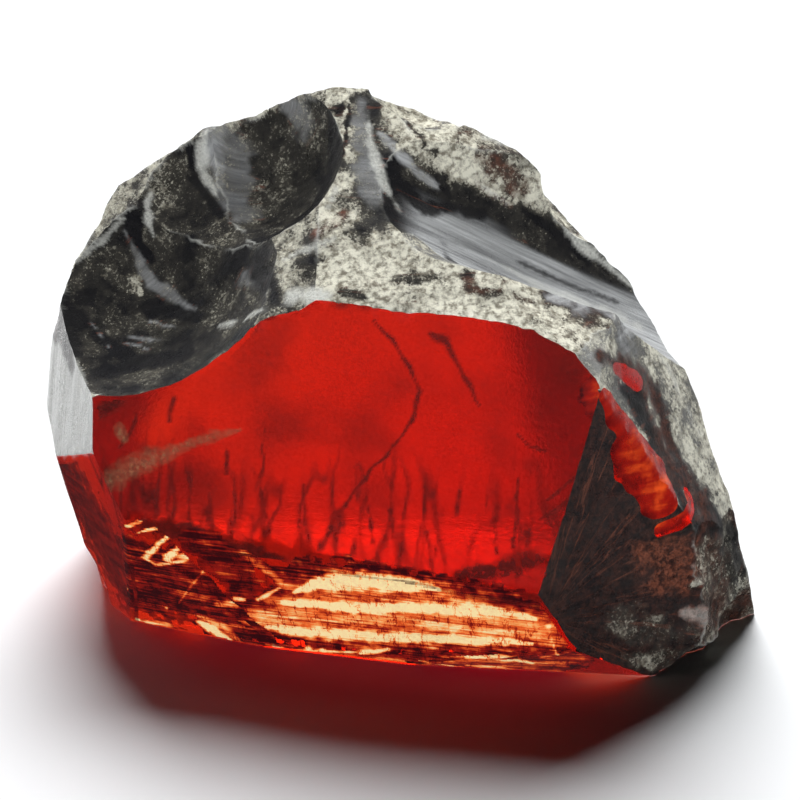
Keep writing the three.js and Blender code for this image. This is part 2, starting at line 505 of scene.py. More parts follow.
def split_edges(ways, tris, edges, numbers, marked, share):
    """Puts a new direction on each marked edge, share of the way along it, and re-cuts the
    triangles round it, so that no gap opens."""
    fresh = np.full(len(edges), -1)
    fresh[marked] = len(ways) + np.arange(marked.sum())
    ways = np.concatenate([ways, between(ways, edges[marked], share[marked])])
    new = fresh[numbers]
    count = (new >= 0).sum(axis=1)
    parts = [tris[count == 0]]
    for turn in range(3):
        t0, t1, t2 = (np.roll(tris, -turn, axis=1)[:, k] for k in range(3))
        n0, n1, n2 = (np.roll(new, -turn, axis=1)[:, k] for k in range(3))
        one = (count == 1) & (n0 >= 0)
        parts.append(np.stack([t0, n0, t2], axis=1)[one])
        parts.append(np.stack([n0, t1, t2], axis=1)[one])
        two = (count == 2) & (n2 < 0)
        parts.append(np.stack([n0, t1, n1], axis=1)[two])
        parts.append(np.stack([t0, n0, n1], axis=1)[two])
        parts.append(np.stack([t0, n1, t2], axis=1)[two])
        three = count == 3
        if turn == 0:
            parts.append(np.stack([n0, n1, n2], axis=1)[three])
        parts.append(np.stack([t0, n0, n2], axis=1)[three])
    return ways, np.concatenate(parts)


def halve_edges(ways, tris, edges, numbers, marked):
    return split_edges(ways, tris, edges, numbers, marked, np.full(len(edges), 0.5))


# The edge length in mm that each finish asks for
EDGE_TARGETS = {
    "resting": 0.8, "window": 0.6, "rippled": 0.3, "glassy": 0.35, "frosted": 0.45,
    "rough": 0.26, "crusty": 0.19, "chalky": 0.17, "shell": 0.16, "silky": 0.15,
    "hackled": 0.15, "patch": 0.2, "blocky": 0.18, "sleek": 0.25,
}
BACK_FROM = 3.0              # faces behind this Y are coarser
BACK_COARSER = 1.7
EDGE_PLAY = 1.35             # how much longer than its target an edge may stay
MOST_HALVINGS = 14
CROSSING_STEPS = 9
NEAR_END = 0.22              # a ridge this close to an edge's end moves that end


def refine(ways, tris, fineness):
    """Halves edges until they are as short as their faces' finish asks for."""
    targets = np.array([EDGE_TARGETS[finish] for finish in FACE_FINISHES]) * fineness
    points, which = surface(ways)
    for _ in range(MOST_HALVINGS):
        target = targets[which] * np.where(points[:, 1] > BACK_FROM, BACK_COARSER, 1.0)
        edges, numbers = edges_of(tris)
        a, b = edges[:, 0], edges[:, 1]
        length = np.linalg.norm(points[a] - points[b], axis=1)
        marked = length > EDGE_PLAY * np.minimum(target[a], target[b])
        if not marked.any():
            break
        known = len(ways)
        ways, tris = halve_edges(ways, tris, edges, numbers, marked)
        fresh_points, fresh_which = surface(ways[known:])
        points = np.concatenate([points, fresh_points])
        which = np.concatenate([which, fresh_which])
    return ways, tris


def crossing_share(ways, edges, differs):
    """How far along each marked edge the surface passes from one face to the next."""
    low, high = np.zeros(len(edges)), np.ones(len(edges))
    _, first = surface(ways[edges[:, 0]])
    for _ in range(CROSSING_STEPS):
        middle = (low + high) / 2
        same = np.zeros(len(edges), bool)
        _, crossed = surface(between(ways, edges[differs], middle[differs]))
        same[differs] = crossed == first[differs]
        low = np.where(differs & same, middle, low)
        high = np.where(differs & ~same, middle, high)
    return (low + high) / 2


def cut_along_ridges(ways, tris):
    """Moves or adds directions so that mesh edges follow the ridges between faces."""
    _, which = surface(ways)
    edges, numbers = edges_of(tris)
    differs = which[edges[:, 0]] != which[edges[:, 1]]
    share = crossing_share(ways, edges, differs)
    moved = np.zeros(len(ways), bool)
    for end, close in ((0, share < NEAR_END), (1, share > 1 - NEAR_END)):
        for e in np.nonzero(differs & close)[0]:
            v = edges[e, end]
            if not moved[v]:
                moved[v] = True
                ways[v] = between(ways, edges[e:e + 1], share[e:e + 1])[0]
    touched = moved[edges[:, 0]] | moved[edges[:, 1]]
    return split_edges(ways, tris, edges, numbers, differs & ~touched, share)


# ---------------------------------------------------------------------------------------
# Coats: how much dust, silk, stain and pale rind lies on the opaque faces; the silk's grey is a
# painted sheen, and the pale rind is partly painted highlights
# ---------------------------------------------------------------------------------------
DUST, SILK_SHEEN, STAIN, PALE_AND_HIGHLIGHT = range(4)
BARE = None                 # a mark of this kind rubs every coat away

FINISH_COATS = {     # dust, silk, stain, pale
    "crusty": (0.55, 0.05, 0.05, 0.0), "chalky": (0.72, 0.15, 0.0, 0.0),
    "shell": (0.24, 0.0, 0.0, 0.0), "silky": (0.12, 0.0, 0.0, 0.0),
    "hackled": (0.0, 0.08, 0.17, 0.0), "blocky": (0.34, 0.0, 0.34, 0.0),
    # sleek, the left flank: its silk and pale rind are a painted reflection of the bright background
    "rough": (0.40, 0.1, 0.0, 0.0), "sleek": (0.10, 0.85, 0.0, 0.45),
}
FACE_COATS = {
    "plateau": (0.84, 0.10, 0.0, 0.0), "brow": (0.50, 0.0, 0.0, 0.0),
    "upper_right": (0.60, 0.05, 0.12, 0.0), "scar_top": (0.26, 0.0, 0.0, 0.0),
    "scar_middle": (0.29, 0.0, 0.0, 0.0), "left_shoulder": (0.80, 0.0, 0.0, 0.0),
    "right_crust": (0.50, 0.55, 0.0, 0.15), "right_flank": (0.62, 0.45, 0.0, 0.05),
    "scar_ridge": (0.45, 0.55, 0.0, 0.0), "right_foot": (0.35, 0.0, 0.2, 0.1),
}

# Marks drawn on the broken faces: what they add, how strongly, and a path of
# (x, y, z, half width). A strength below 0 rubs that coat away.
PLATEAU_STAIN = [(-3.2, -4.6, 16.9, .35), (-2.7, -4.3, 17.2, .45), (-2.2, -4.0, 17.5, .3)]
CROWN_STAIN = [(3.2, -0.3, 18.8, .4), (4.0, -0.2, 18.2, .6), (4.9, 0.0, 17.5, .5)]
MARKS = [
    # top scar: its bright left rim (a painted highlight), the grey haze inside that and a grey lens
    # under the crown (a painted sheen)
    (PALE_AND_HIGHLIGHT, 0.75, [(-8.0, 2.4, 19.5, .10), (-8.2, 2.1, 18.7, .26), (-8.2, 1.7, 17.9, .28),
                  (-7.9, 1.3, 17.3, .20), (-7.5, 0.8, 16.9, .08)]),
    (SILK_SHEEN, 0.8, [(-7.7, 2.3, 19.3, .4), (-7.7, 1.9, 18.4, .5), (-7.4, 1.2, 17.5, .4)]),
    (SILK_SHEEN, 0.5, [(-7.2, 2.4, 19.3, .7), (-7.1, 1.9, 18.4, 1.0), (-6.9, 1.1, 17.3, .9),
                 (-6.4, 0.1, 16.5, .6)]),
    (SILK_SHEEN, 0.65, [(-4.5, 1.7, 20.4, .6), (-3.9, 1.4, 19.7, .6)]),
    (DUST, 0.85, [(-7.0, 2.4, 19.9, .25), (-5.9, 2.3, 20.2, .3), (-5.1, 2.2, 20.6, .2)]),
    (BARE, 0.9, [(-2.4, 0.4, 20.6, .35), (-2.9, -0.8, 18.6, .5), (-3.8, -2.0, 17.0, .55),
                 (-4.8, -2.5, 16.0, .55), (-6.0, -2.4, 15.2, .3)]),
    # middle scar: a thin crescent, a painted highlight, between two bare gaps
    (PALE_AND_HIGHLIGHT, 0.7, [(-10.1, 1.6, 17.5, .05), (-10.4, 0.9, 16.6, .15), (-10.3, 0.4, 15.9, .17),
                 (-10.1, 0.1, 15.4, .07)]),
    (BARE, 0.95, [(-8.7, 2.2, 18.7, .14), (-8.6, 1.6, 17.6, .22), (-7.9, 0.9, 16.8, .22),
                  (-7.3, 0.1, 16.2, .2)]),
    (BARE, 0.95, [(-11.0, 0.6, 16.2, .2), (-10.7, 0.1, 15.1, .2), (-10.2, -0.3, 14.5, .2)]),
    # left scar: bluish fingers that fan out to the right (a painted sheen), and fine arcs at its left
    # edge (painted sheen and highlights)
    (BARE, 0.9, [(-10.4, -1.6, 12.9, .4), (-9.0, -2.4, 13.0, .4), (-7.9, -3.3, 13.1, .25)]),
    (BARE, 0.9, [(-11.9, -4.4, 10.8, .4), (-10.2, -4.1, 11.3, .5), (-8.6, -4.4, 11.8, .4)]),
    (BARE, 0.85, [(-12.4, -2.5, 12.0, .25), (-11.4, -3.2, 11.5, .3), (-10.3, -3.9, 11.4, .2)]),
    (DUST, 0.55, [(-11.9, -0.4, 14.1, .4), (-11.0, -0.8, 13.6, .4), (-10.6, -1.1, 13.3, .2)]),
    (SILK_SHEEN, 0.62, [(-11.3, 0.4, 15.5, .07), (-10.7, -0.2, 14.5, .18), (-10.1, -0.9, 13.8, .32),
                  (-9.3, -1.7, 13.4, .26), (-8.4, -2.5, 13.2, .13), (-7.5, -3.2, 13.3, .05)]),
    (SILK_SHEEN, 0.6, [(-9.0, -1.7, 13.6, .05), (-8.1, -2.5, 13.5, .13), (-7.5, -3.1, 13.4, .06)]),
    (SILK_SHEEN, 0.75, [(-10.1, -2.2, 12.5, .05), (-9.3, -2.8, 12.5, .10), (-8.4, -3.3, 12.7, .09),
                  (-7.4, -3.8, 13.0, .03)]),
    (SILK_SHEEN, 0.7, [(-10.9, -2.7, 12.0, .06), (-10.0, -3.1, 12.0, .17), (-9.1, -3.6, 12.2, .05)]),
    (SILK_SHEEN, 0.75, [(-11.1, -2.9, 11.8, .04), (-10.3, -3.4, 11.8, .09), (-9.6, -3.9, 11.8, .04)]),
    (SILK_SHEEN, 0.6, [(-12.6, -1.9, 12.4, .04), (-11.7, -3.1, 11.7, .06)]),
    (SILK_SHEEN, 0.5, [(-12.1, -0.9, 13.6, .04), (-12.0, -2.0, 12.5, .05), (-11.4, -3.0, 11.9, .04)]),
    (SILK_SHEEN, 0.5, [(-6.3, -3.2, 14.6, .4), (-5.4, -4.4, 14.9, .35)]),
    (PALE_AND_HIGHLIGHT, 0.8, [(-13.4, -3.0, 11.0, .04), (-13.0, -4.0, 10.7, .08), (-12.6, -4.9, 10.3, .06)]),
    (BARE, 0.95, [(-14.2, 0.4, 12.6, .9), (-13.8, -1.6, 12.3, .9), (-13.2, -3.4, 11.1, .5)]),
    # the shoulder rim between the scars and the left roof: a painted highlight
    (PALE_AND_HIGHLIGHT, 0.8, [(-10.8, 2.4, 18.1, .12), (-9.9, 2.7, 18.9, .20), (-9.0, 2.8, 19.6, .12)]),
    (PALE_AND_HIGHLIGHT, 0.5, [(-13.3, -0.2, 14.4, .08), (-12.3, 0.3, 15.1, .12), (-11.4, 0.7, 16.0, .10)]),
    # the ridge that runs down from the crown: silky with a painted sheen, with dark seams and a white
    # streak that is a painted highlight
    (SILK_SHEEN, 0.6, [(-1.6, 0.3, 20.9, .3), (-1.6, -1.0, 19.9, .45), (-1.5, -2.3, 18.8, .55),
                  (-1.0, -3.4, 17.9, .4)]),
    (DUST, -0.7, [(-1.4, 0.3, 20.9, .6), (-1.2, -1.0, 19.9, 1.0), (-1.0, -2.4, 18.8, 1.2),
                  (-1.0, -3.9, 17.5, 1.0)]),
    (BARE, 0.6, [(-0.3, 0.8, 21.0, .3), (0.2, 0.0, 20.6, .35), (0.9, -0.9, 19.8, .3),
                 (1.9, -1.4, 18.9, .25)]),
    (BARE, 0.8, [(-2.0, 0.5, 21.0, .06), (-2.1, -0.3, 20.4, .10), (-2.2, -1.1, 19.7, .10),
                 (-2.3, -1.9, 19.1, .06)]),
    (PALE_AND_HIGHLIGHT, 0.7, [(-1.3, -0.2, 20.6, .08), (-1.2, -1.3, 19.7, .16), (-0.9, -2.2, 19.0, .20),
                 (-0.5, -2.9, 18.3, .20), (0.1, -3.5, 17.5, .12)]),
    (PALE_AND_HIGHLIGHT, 0.9, [(-2.6, -2.6, 18.6, .14), (-2.6, -3.2, 18.1, .12), (-2.8, -3.6, 17.7, .05)]),
    (SILK_SHEEN, 0.9, [(-0.8, -1.0, 20.0, .14), (-0.1, -1.6, 19.4, .24), (0.6, -1.7, 18.7, .24),
                 (1.4, -1.6, 18.0, .16)]),
    # the head of the trough
    (BARE, 0.85, [(-0.5, -2.1, 19.0, .08), (0.2, -2.4, 18.1, .3), (0.9, -2.6, 17.4, .4),
                  (1.9, -1.9, 17.2, .3), (3.3, -1.3, 16.7, .25)]),
    # the plateau: cream bars and chips, a rusty stain, bare patches, and a silky band whose grey is a
    # painted sheen
    (STAIN, 0.7, PLATEAU_STAIN), (DUST, -0.4, PLATEAU_STAIN),
    (BARE, 0.6, [(-4.0, -5.4, 15.9, .25), (-2.9, -5.5, 16.2, .15)]),
    (PALE_AND_HIGHLIGHT, 0.7, [(-4.7, -4.9, 15.9, .07), (-3.8, -4.9, 16.3, .13), (-3.0, -5.0, 16.6, .13),
                 (-2.2, -4.8, 16.9, .05)]),
    (BARE, 0.9, [(-5.6, -3.8, 15.0, .5), (-4.9, -5.4, 14.9, .4), (-4.8, -6.3, 14.6, .25)]),
    (PALE_AND_HIGHLIGHT, 1.0, [(-4.3, -6.4, 15.0, .3), (-3.6, -6.7, 15.1, .45), (-2.8, -7.0, 15.1, .3)]),
    (PALE_AND_HIGHLIGHT, 0.75, [(-7.2, -4.3, 13.0, .10), (-6.3, -5.2, 13.6, .22), (-5.3, -6.4, 14.3, .10)]),
    (BARE, 0.75, [(-2.3, -6.9, 15.2, .2), (-1.8, -7.0, 15.2, .22), (-1.2, -7.3, 15.1, .15)]),
    (BARE, 0.6, [(-0.1, -6.6, 15.7, .3), (0.8, -6.7, 15.7, .5), (1.5, -6.7, 15.8, .2)]),
    (BARE, 0.5, [(-2.0, -4.7, 17.0, .4), (-1.4, -5.1, 16.7, .4)]),
    (BARE, 0.8, [(1.8, -3.7, 16.4, .2), (2.1, -5.0, 16.1, .3), (2.6, -6.6, 15.6, .35)]),
    (BARE, 0.75, [(2.7, -7.2, 15.4, .25), (3.8, -7.4, 15.2, .3), (5.0, -7.3, 14.8, .2)]),
    (STAIN, 0.45, [(2.6, -7.0, 15.4, .35), (3.8, -7.2, 15.2, .4), (5.2, -7.2, 14.7, .3)]),
    (SILK_SHEEN, 0.8, [(2.5, -4.2, 16.0, .3), (4.0, -5.0, 15.5, .4), (5.6, -4.6, 14.6, .4)]),
    (DUST, -0.75, [(4.6, -5.6, 15.2, .8), (6.2, -6.2, 14.6, 1.2), (8.2, -6.2, 13.4, 1.2)]),
    (SILK_SHEEN, 0.85, [(4.4, -5.4, 15.2, .7), (6.2, -6.0, 14.6, 1.1), (8.2, -6.0, 13.4, 1.1)]),
    # right of the crown: cream crust, a crystal or two, a brown patch, a salmon line and a white edge
    # streak that is a painted highlight
    (DUST, 0.98, [(0.5, 0.1, 20.6, .4), (1.2, -0.5, 20.0, .6), (1.8, -0.8, 19.3, .6),
                  (2.2, -0.9, 18.5, .45)]),
    (BARE, 0.9, [(0.2, 1.2, 20.9, .3), (1.5, 1.2, 20.3, .25)]),
    (STAIN, 0.5, CROWN_STAIN), (DUST, -0.35, CROWN_STAIN),
    (PALE_AND_HIGHLIGHT, 0.85, [(3.5, 0.5, 19.4, .25), (4.2, 0.5, 19.1, .25)]),
    (BARE, 0.9, [(4.5, 0.5, 19.0, .18), (5.0, 0.2, 18.2, .22)]),
    (STAIN, 1.0, [(2.9, -0.8, 18.1, .08), (3.5, -0.7, 17.6, .12), (4.5, -0.5, 16.9, .08)]),
    (PALE_AND_HIGHLIGHT, 0.5, [(2.9, -0.8, 18.1, .05), (3.5, -0.7, 17.6, .09), (4.5, -0.5, 16.9, .05)]),
    (BARE, 1.0, [(5.0, -0.4, 16.7, .12), (6.2, -0.1, 15.8, .2), (7.0, -0.1, 15.0, .22),
                 (8.5, -0.1, 13.7, .1)]),
    (PALE_AND_HIGHLIGHT, 0.8, [(6.3, 0.2, 16.6, .10), (7.0, 0.2, 15.6, .24), (7.7, 0.2, 14.8, .25),
                 (8.9, 0.3, 13.9, .16), (9.8, 0.4, 13.0, .10)]),
    # in the trough: a bright lower band, a painted highlight, and a dark seam in its silk
    (PALE_AND_HIGHLIGHT, 0.5, [(3.6, -2.9, 15.4, .12), (5.0, -2.6, 14.6, .25), (6.5, -2.3, 13.7, .35),
                 (8.0, -1.8, 13.0, .35), (9.9, -1.1, 12.0, .3)]),
    (SILK_SHEEN, -0.55, [(4.8, -1.9, 14.9, .08), (6.9, -1.3, 13.8, .13), (8.9, -0.6, 12.8, .08)]),
    # right flank: a whitish crust over a dark brown border
    (BARE, 1.0, [(7.7, -8.8, 13.4, .3), (8.6, -8.0, 12.6, .5), (9.7, -6.8, 11.8, .55),
                 (10.4, -6.6, 10.6, .55), (10.6, -7.2, 9.4, .6), (11.1, -7.5, 8.1, .7),
                 (11.8, -7.2, 7.0, .8), (12.5, -6.8, 5.8, .8)]),
    (BARE, 1.0, [(8.7, -8.3, 12.1, .5), (9.2, -8.1, 11.3, .8), (9.9, -8.0, 9.9, .8),
                 (10.5, -8.2, 8.6, .8), (11.2, -8.1, 7.2, .8), (11.8, -8.1, 6.0, .8)]),
    (STAIN, 0.35, [(7.7, -8.8, 13.4, .4), (8.6, -8.0, 12.6, .6), (9.7, -6.8, 11.8, .6),
                   (10.2, -7.2, 10.0, .9), (11.0, -7.7, 8.1, .9), (12.0, -7.3, 6.6, 1.0)]),
    (PALE_AND_HIGHLIGHT, 0.5, [(10.6, -4.8, 12.0, .3), (11.4, -5.0, 10.5, .35), (12.2, -5.0, 8.7, .35)]),
    # the fan: brown middle, tan flecks and grey blocks; the foot: grey specks
    (STAIN, 0.9, [(9.7, -9.2, 5.1, .9), (10.6, -8.8, 4.7, 1.4), (11.4, -8.5, 4.2, 1.1)]),
    (SILK_SHEEN, -1.0, [(10.1, -9.0, 5.4, 1.0), (11.2, -8.5, 4.6, 1.3), (11.5, -8.3, 3.8, 0.9)]),
    (PALE_AND_HIGHLIGHT, 0.4, [(11.2, -8.5, 2.5, .20), (12.0, -8.3, 2.2, .40), (12.7, -7.6, 1.8, .40),
                  (13.1, -7.1, 1.3, .2)]),
    (PALE_AND_HIGHLIGHT, 0.35, [(11.6, -8.4, 3.6, .12), (12.1, -8.2, 3.9, .2), (12.3, -7.9, 4.1, .12)]),
    (STAIN, 1.0, [(11.3, -8.5, 2.5, .30), (12.0, -8.3, 2.2, .45), (12.6, -7.6, 1.9, .45)]),
    (DUST, 0.7, [(11.5, -8.4, 3.5, .2), (12.1, -8.2, 3.9, .22)]),
    (DUST, 0.30, [(8.5, -9.8, 2.8, .8), (10.0, -9.2, 1.8, 1.0), (11.3, -8.7, 1.4, .8)]),
    (DUST, 0.45, [(8.6, -9.9, 1.2, .3), (10.1, -9.1, 0.6, .5), (12.0, -7.8, 0.7, .5),
                  (13.0, -6.4, 0.8, .4)]),
    (STAIN, -1.0, [(13.4, -6.2, 5.0, .9), (14.0, -5.4, 2.4, 1.2)]),
]
MARK_EDGE = (1.35, 0.5)     # half widths from a path at which its mark ends, and is full
MARK_FRAY = 0.60            # how ragged the edges of the marks are
RIDGE_HIGHLIGHT = 0.5            # how bright the painted highlight on the ridges between broken faces is


def coat_table():
    """The four coats of each face: its own, or else its finish's, or else none."""
    faces = zip(FACE_NAMES, FACE_FINISHES)
    return np.array([FACE_COATS.get(name, FINISH_COATS.get(finish, (0, 0, 0, 0)))
                     for name, finish in faces], float)


def coats(points, which, ridge):
    """Dust, silk, stain and pale rind at each point; silk is a painted sheen, and pale rind holds
    painted highlights too. Ridge is 1 where broken faces meet.
    """
    coat = coat_table()[which]
    # the trough is silky, with a painted sheen, but for its head and its dusty lip
    in_trough = which == FACE_INDEX["trough"]
    along, across = trough_grain(points)
    lip = across + 0.4 * lines_of(along, across, 6, 0.8, 2, 141)
    silk_sheen = smooth(0.8, 2.4, along) * smooth(-3.8, -3.2, lip)
    coat[in_trough, SILK_SHEEN] = (0.95 * silk_sheen)[in_trough]
    coat[in_trough, DUST] = (0.22 - 0.2 * silk_sheen + 0.5 * smooth(-4.6, -5.2, lip))[in_trough]
    # a painted highlight along the ridges between broken faces, stored as pale rind
    worn = RIDGE_HIGHLIGHT * ridge * smooth(-0.15, 0.4, noise(points / 1.3, 149))
    coat[:, PALE_AND_HIGHLIGHT] = np.maximum(coat[:, PALE_AND_HIGHLIGHT], worn)
    fray = MARK_FRAY * fractal(points, 0.7, 3, 145)
    for channel, strength, path in MARKS:
        share = smooth(*MARK_EDGE, nearness(points, path) + fray) * abs(strength)
        if channel is BARE:
            coat *= 1 - share[:, None]
        elif strength > 0:
            coat[:, channel] = np.maximum(coat[:, channel], share)
        else:
            coat[:, channel] *= 1 - share
    return np.clip(coat, 0, 1)


FROST = {      # roughness of the clear faces
    "window": 0.20, "rippled": 0.07, "glassy": 0.10, "frosted": 0.32, "patch": 0.25,
    "resting": 0.45,
}
NO_FROST = 0.3               # stored on the broken faces, which don't read it


# ---------------------------------------------------------------------------------------
# Node helpers
# ---------------------------------------------------------------------------------------
def plug(tree, socket, value):
    """Sets a socket, or links it if the value is another node's socket. Colours come as
    red, green and blue."""
    if isinstance(value, bpy.types.NodeSocket):
        tree.links.new(value, socket)
    elif socket.type == "RGBA":
        socket.default_value = (*value, 1)
    else:
        socket.default_value = value


def fill_in(tree, node, inputs):
    """Sets or links a node's inputs, by name or number."""
    for name, value in inputs.items():
        plug(tree, node.inputs[name], value)


def add(tree, kind, inputs, **settings):
    """Adds a node with its settings and inputs, and returns its outputs."""
    made = tree.nodes.new(kind)
    for name, value in settings.items():
        setattr(made, name, value)
    fill_in(tree, made, inputs)
    return made.outputs


def blend_colours(tree, share, first, second):
    return add(tree, "ShaderNodeMix", {0: share, 6: first, 7: second}, data_type="RGBA")[2]


def blend_values(tree, share, first, second):
    return add(tree, "ShaderNodeMix", {0: share, 2: first, 3: second})[0]


def reckon(tree, operation, *values):
    return add(tree, "ShaderNodeMath", dict(enumerate(values)), operation=operation)[0]


def times(tree, first, second):
    return reckon(tree, "MULTIPLY", first, second)


def plus(tree, first, second):
    return reckon(tree, "ADD", first, second)


def minus(tree, first, second):
    return reckon(tree, "SUBTRACT", first, second)


def higher(tree, first, second):
    return reckon(tree, "MAXIMUM", first, second)


def off_middle(tree, value):
    """How far a value lies from 0.5."""
    return reckon(tree, "ABSOLUTE", minus(tree, value, 0.5))


def rescale(tree, value, from_min, from_max, to_min, to_max, kind="LINEAR"):
    inputs = {"Value": value, "From Min": from_min, "From Max": from_max,
              "To Min": to_min, "To Max": to_max}
    return add(tree, "ShaderNodeMapRange", inputs, interpolation_type=kind)[0]


def stretch(tree, value, low, high):
    """A value between 0 and 1, taken to one between low and high."""
    return rescale(tree, value, 0.0, 1.0, low, high)


def colour_ramp(tree, value, stops):
    """Colours along a value; each stop is a place on it and a colour."""
    made = add(tree, "ShaderNodeValToRGB", {0: value})[0]
    elements = made.node.color_ramp.elements
    elements.remove(elements[0])
    elements[0].position = stops[0][0]
    elements[0].color = (*stops[0][1], 1)
    for place, colour in stops[1:]:
        elements.new(place).color = (*colour, 1)
    return made


def place_in_mm(tree):
    """The place on the surface, in millimetres."""
    spot = add(tree, "ShaderNodeTexCoord", {})["Object"]
    return add(tree, "ShaderNodeVectorMath", {0: spot, "Scale": 1 / MM}, operation="SCALE")[0]


def attribute(tree, name):
    return add(tree, "ShaderNodeAttribute", {}, attribute_name=name)


def roughen(tree, shader, height, distance, strength):
    """Gives a shader fine relief, distance deep in metres."""
    bump = add(tree, "ShaderNodeBump",
               {"Height": height, "Distance": distance, "Strength": strength})
    plug(tree, shader.inputs["Normal"], bump[0])


def new_group(name, inputs, outputs):
    """An empty node group. Returns its tree, its inputs by name, and its output node."""
    tree = bpy.data.node_groups.new(name, "ShaderNodeTree")
    for socket, kind, value in inputs:
        made = tree.interface.new_socket(name=socket, in_out="INPUT", socket_type=kind)
        if value is not None:
            made.default_value = value
    for socket in outputs:
        tree.interface.new_socket(name=socket, in_out="OUTPUT", socket_type="NodeSocketFloat")
    entry = tree.nodes.new("NodeGroupInput")
    return tree, entry.outputs, tree.nodes.new("NodeGroupOutput")


def fine_noise(tree, place, scale, detail, roughness):
    """Noise between about 0 and 1."""
    inputs = {"Vector": place, "Scale": scale, "Detail": detail, "Roughness": roughness}
    return rescale(tree, add(tree, "ShaderNodeTexNoise", inputs)[0], 0.3, 0.7, 0.0, 1.0)


def grit_group():
    """Patches with ragged edges: Level is how much of the surface they cover."""
    if "Grit" in bpy.data.node_groups:
        return bpy.data.node_groups["Grit"]
    inputs = [("Place", "NodeSocketVector", None), ("Size", "NodeSocketFloat", 1.0),
              ("Level", "NodeSocketFloat", 0.5), ("Softness", "NodeSocketFloat", 0.1)]
    tree, given, out = new_group("Grit", inputs, ["Cover", "Grain"])
    scale = reckon(tree, "DIVIDE", 1.0, given["Size"])
    grain = fine_noise(tree, given["Place"], scale, 6.0, 0.66)
    width = reckon(tree, "MULTIPLY_ADD", given["Softness"], 2.0, 1.0)
    top = plus(tree, given["Softness"], 1.0)
    middle = minus(tree, top, times(tree, given["Level"], width))
    low = minus(tree, middle, given["Softness"])
    high = plus(tree, middle, given["Softness"])
    cover = rescale(tree, grain, low, high, 0.0, 1.0, "SMOOTHSTEP")
    fill_in(tree, out, {"Cover": cover, "Grain": grain})
    return tree


def streaks_group():
    """Fine lines along the grain's run."""
    if "Streaks" in bpy.data.node_groups:
        return bpy.data.node_groups["Streaks"]
    inputs = [("Grain", "NodeSocketVector", None), ("Long", "NodeSocketFloat", 4.0),
              ("Wide", "NodeSocketFloat", 0.3)]
    tree, given, out = new_group("Streaks", inputs, ["Lines"])
    parts = add(tree, "ShaderNodeSeparateXYZ", {0: given["Grain"]})
    run = reckon(tree, "DIVIDE", parts[0], given["Long"])
    across = reckon(tree, "DIVIDE", parts[1], given["Wide"])
    drawn = add(tree, "ShaderNodeCombineXYZ", {0: run, 1: across, 2: 0.0})[0]
    plug(tree, out.inputs["Lines"], fine_noise(tree, drawn, 1.0, 4.0, 0.6))
    return tree


def use_group(tree, group, inputs):
    return add(tree, "ShaderNodeGroup", inputs, node_tree=group)


def grit(tree, place, size, softness, level=0.5):
    return use_group(tree, grit_group(), {"Place": place, "Size": size, "Level": level,
                                          "Softness": softness})


def streaks(tree, grain, long, wide):
    return use_group(tree, streaks_group(), {"Grain": grain, "Long": long, "Wide": wide})[0]


# ---------------------------------------------------------------------------------------
# Materials
# ---------------------------------------------------------------------------------------
BLACK, WHITE = (0.0, 0.0, 0.0), (1.0, 1.0, 1.0)
CLOUDED = (0.62, 0.55, 0.55)          # tint of the mottling on the clear faces
INSIDE_OF_RIND = (0.8, 0.8, 0.8)      # the broken faces, seen through the stone


def new_material(name):
    """A material with a Principled shader. Returns it, its node tree and the shader."""
    material = bpy.data.materials.new(name)
    material.use_nodes = True
    tree = material.node_tree
    return material, tree, tree.nodes["Principled BSDF"]


def clear_garnet(look):
    """See-through red stone: the colour comes from the depth of stone that light crosses."""
    material, tree, shader = new_material("clear_garnet")
    place = place_in_mm(tree)
    cloud = grit(tree, place, 2.2, 0.6)
    speck = grit(tree, place, 0.16, 0.4)
    lines = streaks(tree, attribute(tree, "grain")["Vector"], 3.0, 0.35)
    mottle = times(tree, cloud["Cover"], speck["Cover"])
    worn = stretch(tree, cloud["Grain"], 0.75, 1.35)
    uneven = plus(tree, times(tree, lines, 0.5), times(tree, speck["Grain"], 0.5))
    roughen(tree, shader, uneven, 0.00003, 0.3)
    fill_in(tree, shader, {
        "Base Color": blend_colours(tree, mottle, WHITE, CLOUDED),
        "Roughness": times(tree, attribute(tree, "frost")["Fac"], worn),
        "Transmission Weight": 1.0,
        "IOR": look.ior,
    })
    depth = add(tree, "ShaderNodeVolumeAbsorption", {"Density": look.depth_of_colour,
                                                     "Color": look.passed_light})
    plug(tree, tree.nodes["Material Output"].inputs["Volume"], depth[0])
    return material


def dust_density(tree, place, dust):
    """How thick the dust lies: in drifts, and more evenly the more of it there is."""
    drifts = grit(tree, place, 1.3, 0.5)
    gather = rescale(tree, drifts["Grain"], 0.2, 0.8, 0.35, 1.45)
    return times(tree, dust, reckon(tree, "POWER", gather, minus(tree, 1.25, dust)))


def stained_stone(tree, look, stain, shade, crumbs, specks):
    """Near-black stone, with rust on it."""
    stone = blend_colours(tree, shade["Cover"], look.dark_stone, look.dull_stone)
    rust = times(tree, stain, rescale(tree, crumbs["Grain"], 0.3, 0.7, 0.3, 1.3))
    tone = blend_colours(tree, specks["Grain"], look.stain_dark, look.stain)
    return blend_colours(tree, rust, stone, tone)


